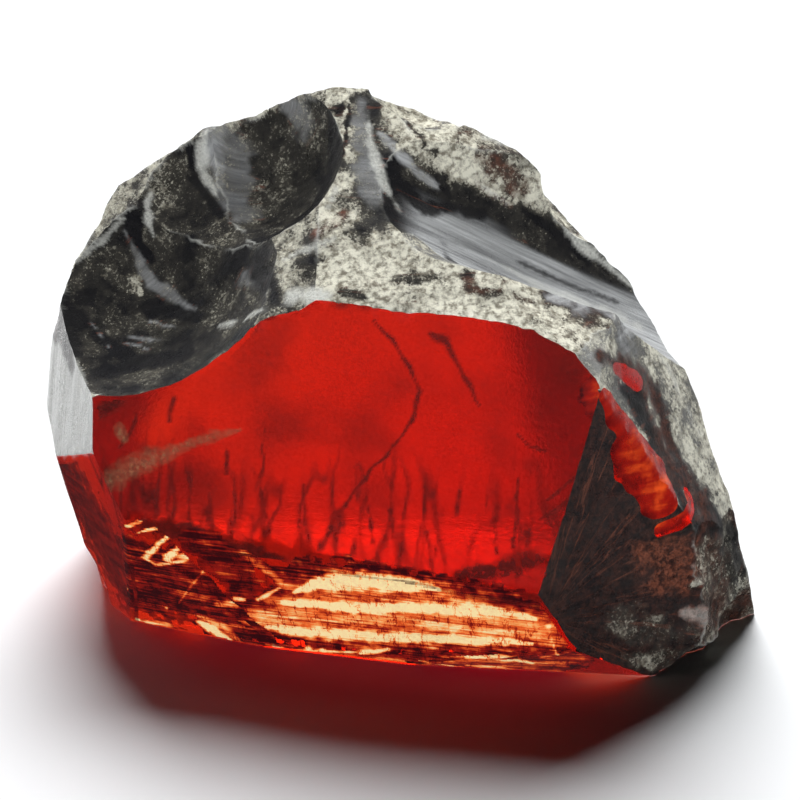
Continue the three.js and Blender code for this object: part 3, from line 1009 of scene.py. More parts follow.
def silk_sheen_over(tree, look, stone, silk_sheen, hair, grain):
    """Silky strands over the stone, their grey a painted sheen, and brown threads where there is
    but a trace of them. Returns the colour, and how silky it is."""
    sheen = blend_colours(tree, hair, look.silk_sheen_dark, look.silk_sheen_light)
    bundle = rescale(tree, streaks(tree, grain, 7.0, 0.7), 0.1, 0.8, 0.45, 1.0)
    share = times(tree, reckon(tree, "POWER", silk_sheen, 1.6), bundle)
    stone = blend_colours(tree, share, stone, sheen)
    off = off_middle(tree, streaks(tree, grain, 14.0, 1.5))
    thread = rescale(tree, off, 0.0, 0.022, 0.42, 0.0)
    thread = times(tree, thread, rescale(tree, silk_sheen, 0.0, 0.08, 0.0, 1.0))
    thread = times(tree, thread, rescale(tree, silk_sheen, 0.1, 0.4, 1.0, 0.0))
    return blend_colours(tree, thread, stone, look.stain), share


def dust_over(tree, look, stone, density, powder, cover):
    """A fog of dust over the stone, and crumbs of it on that."""
    tone = rescale(tree, powder["Grain"], 0.2, 0.65, 0.0, 1.0)
    tone = times(tree, tone, rescale(tree, density, 0.2, 0.75, 0.3, 1.0))
    cream = blend_colours(tree, tone, look.dust_dark, look.dust_light)
    fog = rescale(tree, density, 0.1, 1.0, 0.0, 0.6)
    stone = blend_colours(tree, fog, stone, look.dust_dark)
    return blend_colours(tree, cover, stone, cream)


def broken_rind(look):
    """The broken and weathered faces: near-black stone under dust, silk (a painted sheen), stain and
    rind (partly painted highlights); a painted glow inside.
    """
    material, tree, shader = new_material("broken_rind")
    place = place_in_mm(tree)
    grain = attribute(tree, "grain")["Vector"]
    coat = attribute(tree, "coat")
    dust, silk_sheen, stain = add(tree, "ShaderNodeSeparateColor", {0: coat["Color"]})[0:3]
    density = dust_density(tree, place, dust)
    crumbs = grit(tree, place, 0.30, 0.15, density)
    specks = grit(tree, place, 0.11, 0.15, density)
    powder = grit(tree, place, 0.28, 0.4)
    shade = grit(tree, place, 1.6, 0.5, 0.45)
    hair = streaks(tree, grain, 4.0, 0.16)

    stone = stained_stone(tree, look, stain, shade, crumbs, specks)
    stone, silky = silk_sheen_over(tree, look, stone, silk_sheen, hair, grain)
    thick = rescale(tree, density, 0.2, 0.8, 0.35, 0.85)
    cover = higher(tree, times(tree, crumbs["Cover"], thick), times(tree, specks["Cover"], 0.85))
    stone = dust_over(tree, look, stone, density, powder, cover)
    # pale rind: whitish crust and chips, and painted highlights on rims and ridges
    rind = times(tree, coat["Alpha"], stretch(tree, specks["Grain"], 0.55, 1.3))
    stone = blend_colours(tree, rind, stone, look.pale_rind_and_highlight)

    gloss = higher(tree, stretch(tree, shade["Grain"], 0.20, 0.38), times(tree, silky, 0.45))
    combed = times(tree, hair, silk_sheen)
    height = plus(tree, cover, times(tree, specks["Grain"], 0.7))
    roughen(tree, shader, plus(tree, height, combed), 0.00005, 0.6)
    # from inside the stone the broken faces are pale and glow by themselves: a painted glow that
    # stands in for daylight passing through the stone
    inside = add(tree, "ShaderNodeNewGeometry", {})["Backfacing"]
    fill_in(tree, shader, {
        "Base Color": blend_colours(tree, inside, stone, INSIDE_OF_RIND),
        "Emission Color": blend_colours(tree, inside, BLACK, look.painted_inner_glow),
        "Emission Strength": look.painted_inner_glow_strength,
        "Roughness": higher(tree, gloss, times(tree, cover, 0.9)),
        "IOR": look.rind_ior,
    })
    return material


def finish_film(tree, shader, colour, glow, alpha, roughness):
    """What the films sealed in the stone share: they glow a little by themselves, a painted light, and
    have no gloss.
    """
    fill_in(tree, shader, {
        "Emission Color": colour, "Emission Strength": glow, "Alpha": alpha,
        "Roughness": roughness, "Specular IOR Level": 0.0,
    })


def ember(look, name, unrest):
    """Films that shine by themselves behind the clear faces, a painted glow standing in for light
    through the stone: maroon where thin, cream where strongest.
    """
    material, tree, shader = new_material(name)
    shine = attribute(tree, "shine")["Fac"]
    grain = attribute(tree, "grain")["Vector"]
    broad = grit(tree, grain, 0.8, 0.5)["Grain"]
    seam = rescale(tree, off_middle(tree, streaks(tree, grain, 0.45, 2.2)), 0.0, 0.05, 1.0, 0.0)
    seam = times(tree, seam, rescale(tree, broad, 0.4, 0.75, 0.5, 0.0))
    level = shine
    for lines, swing in ((streaks(tree, grain, 2.2, 0.10), 0.18), (broad, 0.15),
                         (streaks(tree, grain, 5.0, 0.45), 0.22)):
        level = plus(tree, level, stretch(tree, lines, -swing * unrest, swing * unrest))
    level = times(tree, level, minus(tree, 1.0, seam))
    colour = colour_ramp(tree, level, [
        (0.10, look.painted_glow_dark), (0.32, look.painted_glow_red), (0.50, look.painted_glow_orange),
        (0.64, look.painted_glow_gold), (0.80, look.painted_glow_cream)])
    plug(tree, shader.inputs["Base Color"], blend_colours(tree, 0.65, colour, BLACK))
    # light bounced off the floor sees the films deep red: a painted red glow in the stone's shadow
    bounced = add(tree, "ShaderNodeLightPath", {})["Diffuse Depth"]
    cast = blend_colours(tree, bounced, colour, look.painted_floor_glow)
    alpha = rescale(tree, shine, 0.05, 0.16, 0.0, 1.0)
    finish_film(tree, shader, cast, look.painted_glow_strength, alpha, 0.5)
    return material


def dark_flaw(look):
    """Films of dark inclusions, and painted shade along the window's edges: their shade says how much
    light they stop.
    """
    material, tree, shader = new_material("dark_flaw")
    mottle = grit(tree, place_in_mm(tree), 0.35, 0.5)
    colour = blend_colours(tree, mottle["Cover"], look.flaw_dark, look.flaw_red)
    plug(tree, shader.inputs["Base Color"], colour)
    broken = stretch(tree, mottle["Grain"], 0.6, 1.25)
    alpha = times(tree, attribute(tree, "shade")["Fac"], broken)
    finish_film(tree, shader, colour, 0.4, alpha, 0.7)
    return material


def healed_vein(look):
    """A tan film of healed crack near the left of the window."""
    material, tree, shader = new_material("healed_vein")
    mottle = grit(tree, place_in_mm(tree), 0.16, 0.4)
    colour = blend_colours(tree, mottle["Grain"], look.vein_dark, look.vein_tan)
    plug(tree, shader.inputs["Base Color"], colour)
    broken = stretch(tree, mottle["Grain"], 0.5, 1.3)
    alpha = times(tree, attribute(tree, "shine")["Fac"], broken)
    finish_film(tree, shader, colour, 0.45, alpha, 0.8)
    return material


# ---------------------------------------------------------------------------------------
# Flaws sealed in the stone, and films that shine in it as a painted glow. Each lies behind a flat
# face; its marks are paths of (right, up, half width) in millimetres from that face's given point.
# ---------------------------------------------------------------------------------------
SHEETS = {
    # name: face, depth behind it, marks of (heat, path)
    # the lower faces' films shine by themselves: a painted glow for light through the stone
    "bevel_fire": ("bevel", 0.16, [
        (0.18, [(-8.8, 2.9, 1.3), (-7.6, 1.4, 1.3), (-7.4, -0.4, 1.2)]),
        (0.34, [(-8.0, -2.9, .6), (-4.0, -2.8, .6), (0.0, -2.4, .6), (3.0, -1.9, .5)]),
        (0.56, [(-6.9, -0.9, .9), (-4, 0.0, 2.4), (-1, 0.2, 2.4), (2.5, 0.3, 1.9),
                (4.6, 0.2, 1.2)]),
        (1.05, [(-5.3, 0.75, .12), (-4.3, 1.3, .45), (-3.2, 1.65, .65), (-1.8, 1.8, .62),
                (-0.5, 1.9, .5), (0.6, 1.8, .18)]),
        (1.02, [(-5.8, 0.1, .2), (-4.6, 0.15, .32), (-3.0, 0.2, .4), (-1.2, 0.5, .42),
                (0.6, 0.75, .5), (2.4, 0.9, .5), (3.7, 0.9, .3), (4.4, 0.75, .15)]),
        (0.98, [(-6.7, -1.45, .2), (-5.4, -1.45, .42), (-3.6, -1.3, .42), (-1.1, -1.1, .4),
                (1.3, -0.85, .36), (3.2, -0.7, .28), (4.2, -0.6, .12)]),
        (0.62, [(-6.4, -0.7, .2), (-3.8, -0.6, .25), (0.5, -0.25, .2), (3.6, -0.1, .2)]),
        (0.75, [(-7.6, -2.6, .06), (-6.4, -2.65, .09), (-3.6, -2.35, .08), (-1.6, -1.95, .05)]),
        (0.95, [(-6.5, -2.55, .2), (-6.1, -2.6, .12)]),
        (0.9, [(-5.1, -2.4, .2)]),
        (0.85, [(-4.5, -2.4, .18)]),
        (0.9, [(-2.9, -2.25, .16), (-2.2, -2.1, .14), (-1.7, -1.9, .14)]),
        (0.85, [(4.9, 0.45, .2)]),
        (0.6, [(4.9, 0.2, .08), (5.2, -1.2, .06)]),
        (0.8, [(-7.9, 0.0, .16), (-7.5, 0.0, .1)]),
        (0.8, [(-6.9, 0.1, .14), (-6.4, 0.5, .14), (-5.9, 0.9, .08)]),
        (0.5, [(-7.2, 2.6, .25), (-6.4, 1.9, .3), (-5.8, 1.2, .2)]),
    ]),
    "toe_fire": ("toe", 0.16, [
        (0.34, [(-2.2, -0.6, .8), (0.5, -0.5, 1.3), (2.6, -0.7, 1.3), (4.2, 0.9, .8)]),
        (0.86, [(-2.0, -0.15, .08), (-1.3, -0.05, .22), (-0.3, -0.1, .3), (0.7, 0.1, .38),
                (1.5, 0.0, .32), (2.2, -0.35, .12)]),
        (0.8, [(-2.6, -0.75, .06), (-1.4, -1.05, .10), (-0.2, -1.45, .14), (1.0, -1.75, .14),
               (2.3, -2.05, .08)]),
        (0.7, [(-0.4, -1.0, .15), (0.8, -1.1, .25), (1.8, -1.3, .2)]),
        (0.45, [(2.6, 0.4, .12), (3.4, 0.9, .12), (4.6, 1.7, .06)]),
        (0.9, [(2.6, -2.0, .14)]),
    ]),
    "left_fire": ("left_low", 0.20, [
        (0.22, [(-1.8, -3.2, 1.0), (0.5, -3.6, 1.0), (2.6, -3.5, 1.0)]),
        (0.20, [(-3.0, 2.6, 2.0), (-1.5, 0.2, 3.0), (2.2, 0.8, 3.0), (3.2, -1.2, 2.6)]),
        (0.80, [(-1.35, 3.45, .10), (-0.6, 3.9, .14)]),
        (0.72, [(-0.9, 3.2, .08), (0.0, 3.6, .12)]),
        (0.88, [(-0.95, 1.75, .18), (-0.1, 2.7, .15), (1.1, 3.85, .08)]),
        (0.92, [(0.0, 1.85, .22), (0.8, 2.7, .17), (1.8, 3.85, .08)]),
        (0.66, [(0.7, 2.0, .25), (1.7, 2.7, .28), (2.5, 3.35, .10)]),
        (0.72, [(-1.15, 1.7, .08), (-0.6, 1.35, .1), (0.7, 1.85, .10), (2.0, 2.7, .07)]),
        (0.80, [(2.0, 1.9, .12), (2.45, 2.6, .16), (3.0, 3.4, .10)]),
        (0.42, [(-0.2, -0.9, .05), (0.8, 0.5, .08), (2.0, 2.0, .05)]),
        (0.42, [(3.1, 2.3, .12), (3.8, 2.8, .16)]),
        (1.05, [(0.55, -1.95, .26), (0.95, -2.2, .42), (1.5, -2.75, .32), (2.1, -3.05, .10)]),
        (0.55, [(0.5, -1.5, .2), (1.5, -1.9, .35), (2.2, -2.8, .2)]),
        (0.52, [(1.7, -0.5, .22), (2.5, -0.3, .3)]),
        (0.92, [(2.9, 0.4, .18)]),
        (0.85, [(3.8, 0.6, .14), (4.3, 1.0, .10)]),
        (0.75, [(4.3, 1.1, .10), (5.1, 1.5, .10)]),
        (0.8, [(-0.7, -3.6, .05), (0.9, -3.35, .08), (2.2, -3.15, .06)]),
        (0.85, [(-2.6, -0.7, .13)]), (0.9, [(-3.55, -2.7, .16)]), (0.9, [(-2.6, -2.6, .15)]),
        (0.9, [(-2.85, -3.2, .13)]), (0.8, [(-0.9, -1.4, .08)]), (0.8, [(-1.3, -2.8, .16)]),
        (0.5, [(-3.2, -2.9, .2), (-1.2, -2.6, .25)]),
    ]),
    # a dark, dimly glowing film that darkens the left corner: painted shade
    "corner_gloom": ("left_corner", 0.25, [
        (0.15, [(-2.5, 3.0, 3.0), (0.0, 0.0, 3.8), (2.0, -3.0, 3.0)]),
        (0.26, [(1.2, -1.6, .4), (1.6, -2.4, .5)]),
    ]),
    # a painted glow behind the fan's clear patches
    "fan_embers": ("fan", 0.9, [
        (0.32, [(1.9, 4.1, .7), (3.3, 3.2, .8)]),
        (0.34, [(1.5, 2.9, .8), (2.3, 1.7, .9)]),
        (0.36, [(2.8, 0.9, 1.2), (3.4, -0.3, 1.4), (3.9, -1.4, 1.2)]),
        (0.43, [(3.9, -0.9, .5), (4.0, -1.5, .5)]),
        (0.37, [(4.6, 0.3, .5), (5.1, -0.9, .5), (5.2, -1.9, .5), (4.5, -2.4, .5), (3.7, -2.7, .5)]),
    ]),
}
VEIN = ("window", 0.15, [
    (0.62, [(-12.2, -2.0, .25), (-11.4, -1.5, .42), (-10.4, -0.8, .46), (-9.4, -0.4, .30),
            (-8.4, 0.1, .20), (-7.4, 0.5, .24), (-6.4, 0.8, .10)]),
    (0.7, [(-11.3, 0.5, .26), (-11.1, 0.1, .20)]),
])
CALM_SHEETS = ("corner_gloom", "fan_embers")      # dim and even, not streaked
SHEET_STEP = 0.07           # mm between the points of a sheet
SHEET_MARGIN = 1.5          # how many half widths a sheet reaches past its marks
SHEET_EDGE = (1.6, 0.1)     # half widths at which its marks end, and are full
SHEET_FRAY = 0.30           # how ragged they are
SHEET_SWELL = 0.05          # mm that it bows in and out
SKIN = 0.04                 # mm that every flaw keeps behind the plain faces
RIND_DEPTH = 0.30           # mm more behind a broken face, for its pits

CRACKS = [     # dark cracks behind the window: (right, up, half width) on it
    [(-1.3, 5.4, .05), (-0.5, 4.7, .08), (0.1, 3.7, .10), (0.6, 2.8, .10), (0.4, 1.7, .10),
     (-0.2, 0.7, .08), (-1.1, -0.3, .07), (-1.8, -1.3, .09), (-2.5, -2.4, .10), (-2.9, -3.4, .06)],
    [(0.9, 5.0, .12), (1.5, 4.8, .16), (1.9, 4.1, .10), (2.4, 3.3, .11), (2.9, 2.4, .05)],
    [(-9.2, 1.8, .12), (-9.3, 1.0, .14)], [(-10.6, 1.0, .06), (-10.9, 0.3, .08), (-11.3, -0.3, .08)],
    [(-5.5, 0.9, .04), (-5.4, -0.3, .06), (-5.6, -1.4, .10), (-5.1, -3.2, .07)],
    [(-7.0, -0.1, .06), (-6.9, -1.0, .08)], [(-3.8, -1.2, .06), (-3.8, -1.8, .09), (-3.6, -3.3, .07)],
    [(4.5, -0.3, .04), (4.6, -1.9, .09), (4.5, -2.8, .11), (4.8, -3.6, .08)],
    [(2.3, -0.9, .06), (2.3, -1.9, .08)], [(1.1, -2.6, .07), (1.3, -3.9, .09)],
    [(3.7, -2.2, .07), (4.0, -3.2, .06)], [(-1.3, -1.5, .06), (-0.9, -3.2, .10)],
    [(-0.3, -1.9, .06), (-0.2, -3.0, .07)], [(4.4, 1.4, .05), (5.0, 1.0, .07), (5.6, 0.9, .05)],
    [(5.8, -1.0, .06), (6.4, -0.3, .09), (7.2, 0.2, .12), (7.7, 1.7, .10)],
    [(5.5, -1.8, .06), (6.6, -0.9, .12), (7.3, -0.5, .10)],
]
GLOOM = [      # painted shade along the window's edges
    [(-10.3, -3.2, .3), (-7.5, -3.6, .5), (-5.0, -4.2, .5)], [(2.6, -4.2, .4), (5.6, -3.4, .5)],
    [(-2.6, 6.1, .35), (-1.5, 6.2, .35)], [(7.4, 4.8, .4), (7.9, 3.4, .3), (7.8, 1.9, .5)],
    [(-12.4, 1.0, .4), (-9.0, 3.4, .4), (-5.4, 5.4, .3)],
    [(-1.5, 6.2, .18), (1.5, 6.1, .14), (4.5, 5.8, .18), (7.0, 5.1, .22)],
]


def clearance(points):
    """How far points lie inside the stone and its rind, in millimetres."""
    room = np.full(len(points), FAR)
    for face, normal in zip(FACES, FACE_NORMALS):
        if face.radius:
            gap = np.linalg.norm(points - hollow_middle(face, normal), axis=1) - face.radius
        else:
            gap = (np.array(face.point) - points) @ normal
        if face.finish not in CLEAR_FINISHES:
            gap = gap - RIND_DEPTH
        room = np.minimum(room, gap)
    return room


def heat_of(spots, marks, seed):
    """The strongest mark at each spot of a sheet, with ragged edges."""
    fray = SHEET_FRAY * fractal(in_plane(*spots.T), 0.5, 3, seed)
    heat = np.zeros(len(spots))
    for strength, path in marks:
        share = smooth(*SHEET_EDGE, nearness(spots, path) + fray)
        heat = np.maximum(heat, strength * share)
    return heat


def spread_spots(low, high, step):
    """Places on a sheet, step apart, and how many there are each way."""
    u = np.arange(low[0], high[0], step)
    v = np.arange(low[1], high[1], step)
    spots = np.stack(np.meshgrid(u, v, indexing="ij"), axis=-1).reshape(-1, 2)
    return spots, (len(u), len(v))


def film(name, points, shape, keep, values):
    """A grid of points as a mesh, without the points that aren't kept, with attributes."""
    number = np.arange(len(points)).reshape(shape)
    cells = np.stack([number[:-1, :-1], number[1:, :-1],
                      number[1:, 1:], number[:-1, 1:]], axis=-1).reshape(-1, 4)
    cells = cells[keep[cells].all(axis=1)]
    if len(cells) == 0:
        raise RuntimeError(f"no part of {name} lies inside the stone")
    used, cells = np.unique(cells, return_inverse=True)
    obj = mesh_object(name, points[used], cells.reshape(-1, 4))
    for title, value in values.items():
        kind = "FLOAT" if value.ndim == 1 else "FLOAT_VECTOR"
        set_attribute(obj.data, title, kind, "POINT", value[used])
    return obj


def make_sheet(name, plan, threshold, seed):
    """A thin ragged film behind a flat face, with its heat and its grain as attributes."""
    face, depth, marks = plan
    at, normal, right, up = face_axes(face)
    rows = np.array([row for _, path in marks for row in path])
    low = (rows[:, :2] - SHEET_MARGIN * rows[:, 2:]).min(axis=0)
    high = (rows[:, :2] + SHEET_MARGIN * rows[:, 2:]).max(axis=0)
    spots, shape = spread_spots(low, high, SHEET_STEP)
    heat = heat_of(spots, marks, seed)
    flat = at + spots[:, :1] * right + spots[:, 1:] * up
    bow = SHEET_SWELL * noise(flat / 1.5, seed)
    points = flat - normal * (depth + bow)[:, None]
    keep = (heat > threshold) & (clearance(points) > SKIN)
    return film(name, points, shape, keep, {"shine": heat, "grain": in_plane(*spots.T)})


VEILS = {      # depth behind the window in mm, and the width of its columns
    "near_veil": (0.45, 0.85), "deep_veil": (1.8, 1.4),
}
VEIL_STEP = 0.09            # mm between the points of a veil
VEIL_LOW, VEIL_HIGH = (-13.0, -5.5), (9.0, 7.5)
VEIL_SWELL = 0.25           # mm that it bows in and out
COLUMN_STRETCH = 4.5        # how much taller than wide its columns are
CRACK_EDGE = (1.5, 0.3)     # half widths at which its cracks end, and are full
GLOOM_EDGE = (1.5, 0.2)
VEIL_FRAY = 0.5             # how ragged they are
CRACK_SWAY = 0.10           # mm that a crack wanders from its path
GLOOM_STRENGTH = 1.2        # of the painted edge shade beside that of a crack


def veil_shade(spots, wide, density, seed):
    """How dark a veil is: clouds, columns that stand on the window's foot, and a shade along
    its foot that is darkest in the right corner."""
    right, up = spots.T
    flat = in_plane(right, up)
    stretched = lines_of(right, up, wide, COLUMN_STRETCH * wide, 2, seed)
    walls = smooth(0.24, 0.0, np.abs(stretched))
    foot = smooth(0.6, -1.8, up + 1.4 * noise(flat / 2.5, seed + 2))
    patchy = smooth(-0.7, 0.1, noise(flat / 1.7, seed + 3))
    clouds = smooth(-0.1, 1.0, fractal(flat, 4.0, 3, seed + 4))
    corner = smooth(2.0, 6.5, right) * smooth(1.0, -2.5, up)
    low = smooth(-0.5, -4.5, up) + 0.8 * corner
    return density * np.maximum(walls * foot * patchy, np.maximum(0.5 * clouds, 0.4 * low))


def crack_shade(spots, seed):
    """How dark the cracks are, and the painted shade along the window's edges, for a density of 1."""
    flat = in_plane(*spots.T)
    fray = VEIL_FRAY * fractal(flat, 0.6, 3, seed + 5)
    sway = CRACK_SWAY * np.column_stack([noise(flat / 0.8, seed + 6), noise(flat / 0.8, seed + 7)])
    shade = np.zeros(len(spots))
    for path in CRACKS:
        shade = np.maximum(shade, smooth(*CRACK_EDGE, nearness(spots + sway, path) + fray))
    # painted shade along the window's edges
    for path in GLOOM:
        edge = smooth(*GLOOM_EDGE, nearness(spots, path) + fray)
        shade = np.maximum(shade, GLOOM_STRENGTH * edge)
    return shade


def make_veil(name, density, seed):
    """A film of fine dark inclusions behind the window; the near one holds the cracks, and painted
    shade along the window's edges.
    """
    at, normal, right, up = face_axes("window")
    deep, wide = VEILS[name]
    spots, shape = spread_spots(VEIL_LOW, VEIL_HIGH, VEIL_STEP)
    shade = veil_shade(spots, wide, density, seed)
    if name == "near_veil":
        shade = np.maximum(shade, density * crack_shade(spots, seed))
    bow = VEIL_SWELL * noise(in_plane(*spots.T) / 4.0, seed + 8)
    points = at + spots[:, :1] * right + spots[:, 1:] * up - normal * (deep + bow)[:, None]
    return film(name, points, shape, clearance(points) > SKIN, {"shade": shade})


# ---------------------------------------------------------------------------------------
# Meshes and objects
# ---------------------------------------------------------------------------------------
PLAIN_HALVINGS = 5           # fineness of the plain ball that finds the stone's place


def stone_place():
    """The move from the drawing's axes to the frame's: the plain stone's box stands on the
    CAD box."""
    ways, tris = start_ball()
    for _ in range(PLAIN_HALVINGS):
        edges, numbers = edges_of(tris)
        ways, tris = halve_edges(ways, tris, edges, numbers, np.ones(len(edges), bool))
    points = HEART + ways * face_reaches(ways).min(axis=0)[:, None]
    low, high = (np.array(corner) / MM for corner in CAD_BOX)
    middle = (low + high - points.min(axis=0) - points.max(axis=0)) / 2
    return np.array([middle[0], middle[1], low[2] - points[:, 2].min()])


STONE_PLACE = stone_place()


def mesh_object(name, points, faces):
    """A new object from points in the drawing's millimetres."""
    mesh = bpy.data.meshes.new(name)
    mesh.from_pydata(((points + STONE_PLACE) * MM).tolist(), [], faces.tolist())
    obj = bpy.data.objects.new(name, mesh)
    bpy.context.scene.collection.objects.link(obj)
    return obj


def set_attribute(mesh, name, kind, domain, values):
    """Stores one value for each point or corner of a mesh, for its material to read."""
    made = mesh.attributes.new(name, kind, domain)
    field = {"FLOAT": "value", "FLOAT_VECTOR": "vector", "FLOAT_COLOR": "color"}[kind]
    made.data.foreach_set(field, np.ascontiguousarray(values, np.float32).ravel())


def on_ridges(corners, faces, clear, count):
    """1 for the points at which two or more broken faces meet and no clear one does."""
    low, high, touches = np.full(count, len(clear)), np.full(count, -1), np.zeros(count)
    np.minimum.at(low, corners, faces)
    np.maximum.at(high, corners, faces)
    np.maximum.at(touches, corners, clear[faces] * 1.0)
    return (low != high) * (1 - touches)


def set_corner_coats(mesh, points, tris, which, clear):
    """Coats, grain and frost for every corner, each from its own triangle's face."""
    corners = tris.reshape(-1)
    faces = np.repeat(which, 3)
    places = points[corners]
    ridge = on_ridges(corners, faces, clear, len(points))[corners]
    set_attribute(mesh, "coat", "FLOAT_COLOR", "CORNER", coats(places, faces, ridge))
    grain = np.zeros((len(corners), 3))
    frost = np.zeros(len(corners))
    for i, name in enumerate(FACE_NAMES):
        here = faces == i
        if here.any():
            run, across = grain_of(places[here], name)
            grain[here] = in_plane(run, across)
            frost[here] = FROST.get(FACE_FINISHES[i], NO_FROST)
    set_attribute(mesh, "grain", "FLOAT_VECTOR", "CORNER", grain)
    set_attribute(mesh, "frost", "FLOAT", "CORNER", frost)


SHARP_EDGE = math.radians(34)


def make_stone(fineness):
    """The stone itself, with clear faces first and broken faces second in its slots."""
    ways, tris = start_ball()
    ways, tris = refine(ways, tris, fineness)
    ways, tris = cut_along_ridges(ways, tris)
    points, _ = surface(ways)
    which = surface(unit(ways[tris].mean(axis=1)))[1]
    stone = mesh_object("garnet_stone", points, tris)
    clear = np.array([finish in CLEAR_FINISHES for finish in FACE_FINISHES])
    set_corner_coats(stone.data, points, tris, which, clear)
    slots = np.where(clear[which], 0, 1).astype(np.int32)
    stone.data.polygons.foreach_set("material_index", slots)
    stone.data.shade_smooth()
    stone.data.set_sharp_from_angle(angle=SHARP_EDGE)
    return stone


def ride_with_stone(piece):
    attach(piece, BODY)


# ---------------------------------------------------------------------------------------
# What a user would change
# ---------------------------------------------------------------------------------------
def colour(name, description, default):
    return FloatVectorProperty(name=name, description=description, default=default,
                               subtype="COLOR", size=3, min=0.0, max=1.0)


class GarnetLook(bpy.types.PropertyGroup):
    """Colours and clearness of the stone."""
    ior: FloatProperty(name="Refraction", description="Index of refraction of garnet",
                       default=1.76, min=1.0, max=2.5)
    rind_ior: FloatProperty(name="Rind refraction", description="Of the broken faces",
                            default=1.45, min=1.0, max=2.5)
    depth_of_colour: FloatProperty(name="Depth of colour",
                                   description="Absorption for each metre of stone",
                                   default=430.0, min=0.0)
    passed_light: colour("Light passed", "Colour that the stone lets through",
                         (0.938, 0.40, 0.02))
    dark_stone: colour("Dark stone", "Darkest of the broken faces", (0.006, 0.006, 0.008))
    dull_stone: colour("Dull stone", "Lighter parts of the broken faces", (0.017, 0.016, 0.016))
    dust_dark: colour("Dust, dark", "Dust in the pits", (0.24, 0.22, 0.17))
    dust_light: colour("Dust, light", "Dust on the crests", (0.92, 0.90, 0.76))
    # the silk's grey strands are a painted sheen
    silk_sheen_dark: colour("Silk, dark", "Dark strands of the silky bands", (0.36, 0.37, 0.38))
    silk_sheen_light: colour("Silk, light", "Light strands of the silky bands", (0.74, 0.76, 0.77))
    stain: colour("Stain", "Rust-brown see-through stain", (0.30, 0.09, 0.048))
    stain_dark: colour("Stain, dark", "Darkest of the stain", (0.06, 0.02, 0.014))
    # pale rind: whitish rims and chips, and painted highlights on rims, ridges and streaks
    pale_rind_and_highlight: colour("Pale rind", "Whitish rims and chips", (0.74, 0.75, 0.70))
    # a painted glow: the broken faces shine by themselves on their inner side
    painted_inner_glow: colour("Inner light", "Daylight that leaks in through the broken faces",
                        (1.0, 1.0, 1.0))
    painted_inner_glow_strength: FloatProperty(name="Inner light strength",
                                  description="How bright that daylight is",
                                  default=0.6, min=0.0)
    # the films behind the lower faces shine by themselves in these colours: a painted glow that stands
    # in for light through the stone
    painted_glow_dark: colour("Ember, dark", "Weakest inner cracks", (0.030, 0.0, 0.002))
    painted_glow_red: colour("Ember, red", "Weak inner cracks", (0.30, 0.008, 0.004))
    painted_glow_orange: colour("Ember, orange", "Inner cracks", (0.85, 0.13, 0.02))
    painted_glow_gold: colour("Ember, gold", "Strong inner cracks", (0.97, 0.42, 0.12))
    painted_glow_cream: colour("Ember, cream", "Strongest inner cracks", (0.95, 0.80, 0.42))
    # a painted red glow that the films throw into the stone's shadow on the floor
    painted_floor_glow: colour("Ember cast", "Light that the inner cracks throw on the floor",
                       (0.27, 0.0, 0.008))
    painted_glow_strength: FloatProperty(name="Ember strength",
                                  description="How strongly the inner cracks shine",
                                  default=1.0, min=0.0)
    flaw_dark: colour("Flaw, dark", "Dark parts of cracks and wisps", (0.030, 0.002, 0.002))
    flaw_red: colour("Flaw, red", "Red parts of cracks and wisps", (0.20, 0.012, 0.010))
    vein_dark: colour("Vein, dark", "Dark parts of the healed vein", (0.16, 0.06, 0.03))
    vein_tan: colour("Vein, tan", "Light parts of the healed vein", (0.36, 0.235, 0.13))


class GarnetSizes(bpy.types.PropertyGroup):
    """Fineness of the mesh, and the flaws."""
    fineness: FloatProperty(name="Edge length",
                            description="Multiplies the length of the mesh's edges",
                            default=1.0, min=0.7, max=6.0)
    veil_density: FloatProperty(name="Veil density",
                                description="How much light the columns and clouds stop",
                                default=0.9, min=0.0, max=1.0)
    seed: IntProperty(name="Seed", description="Changes the columns and the ragged edges",
                      default=5, min=0)


class GarnetStage(bpy.types.PropertyGroup):
    """Camera, lights and floor."""
    camera_height: FloatProperty(name="Camera height", description="Angle above the floor",
                                 default=math.radians(20), subtype="ANGLE")
    camera_distance: FloatProperty(name="Camera distance", description="From what it looks at",
                                   default=0.098, min=0.01, unit="LENGTH")
    lens: FloatProperty(name="Lens", description="Focal length in millimetres", default=105.0,
                        min=10.0)
    key_height: FloatProperty(name="Light height", description="Angle above the floor",
                              default=math.radians(47), subtype="ANGLE")
    key_turn: FloatProperty(name="Light turn", description="Angle from straight behind",
                            default=math.radians(-2), subtype="ANGLE")
    key_width: FloatProperty(name="Light width", description="Angle across the light",
                             default=math.radians(36), subtype="ANGLE")
    key_strength: FloatProperty(name="Light strength", description="Of the light behind",
                                default=5.6, min=0.0)
    fill_strength: FloatProperty(name="Fill strength", description="Watts of the fill light",
                                 default=0.24, min=0.0)


class GarnetSettings(bpy.types.PropertyGroup):
    """All settings of the garnet."""
    look: PointerProperty(type=GarnetLook)
    sizes: PointerProperty(type=GarnetSizes)
    stage: PointerProperty(type=GarnetStage)


# ---------------------------------------------------------------------------------------
# Operators
# ---------------------------------------------------------------------------------------
MOST_TRIANGLES = 200000
SHEET_THRESHOLD, VEIN_THRESHOLD = 0.10, 0.05      # weaker heat than this leaves no film
CALM_UNREST = 0.3                                 # of the calm sheets beside the others


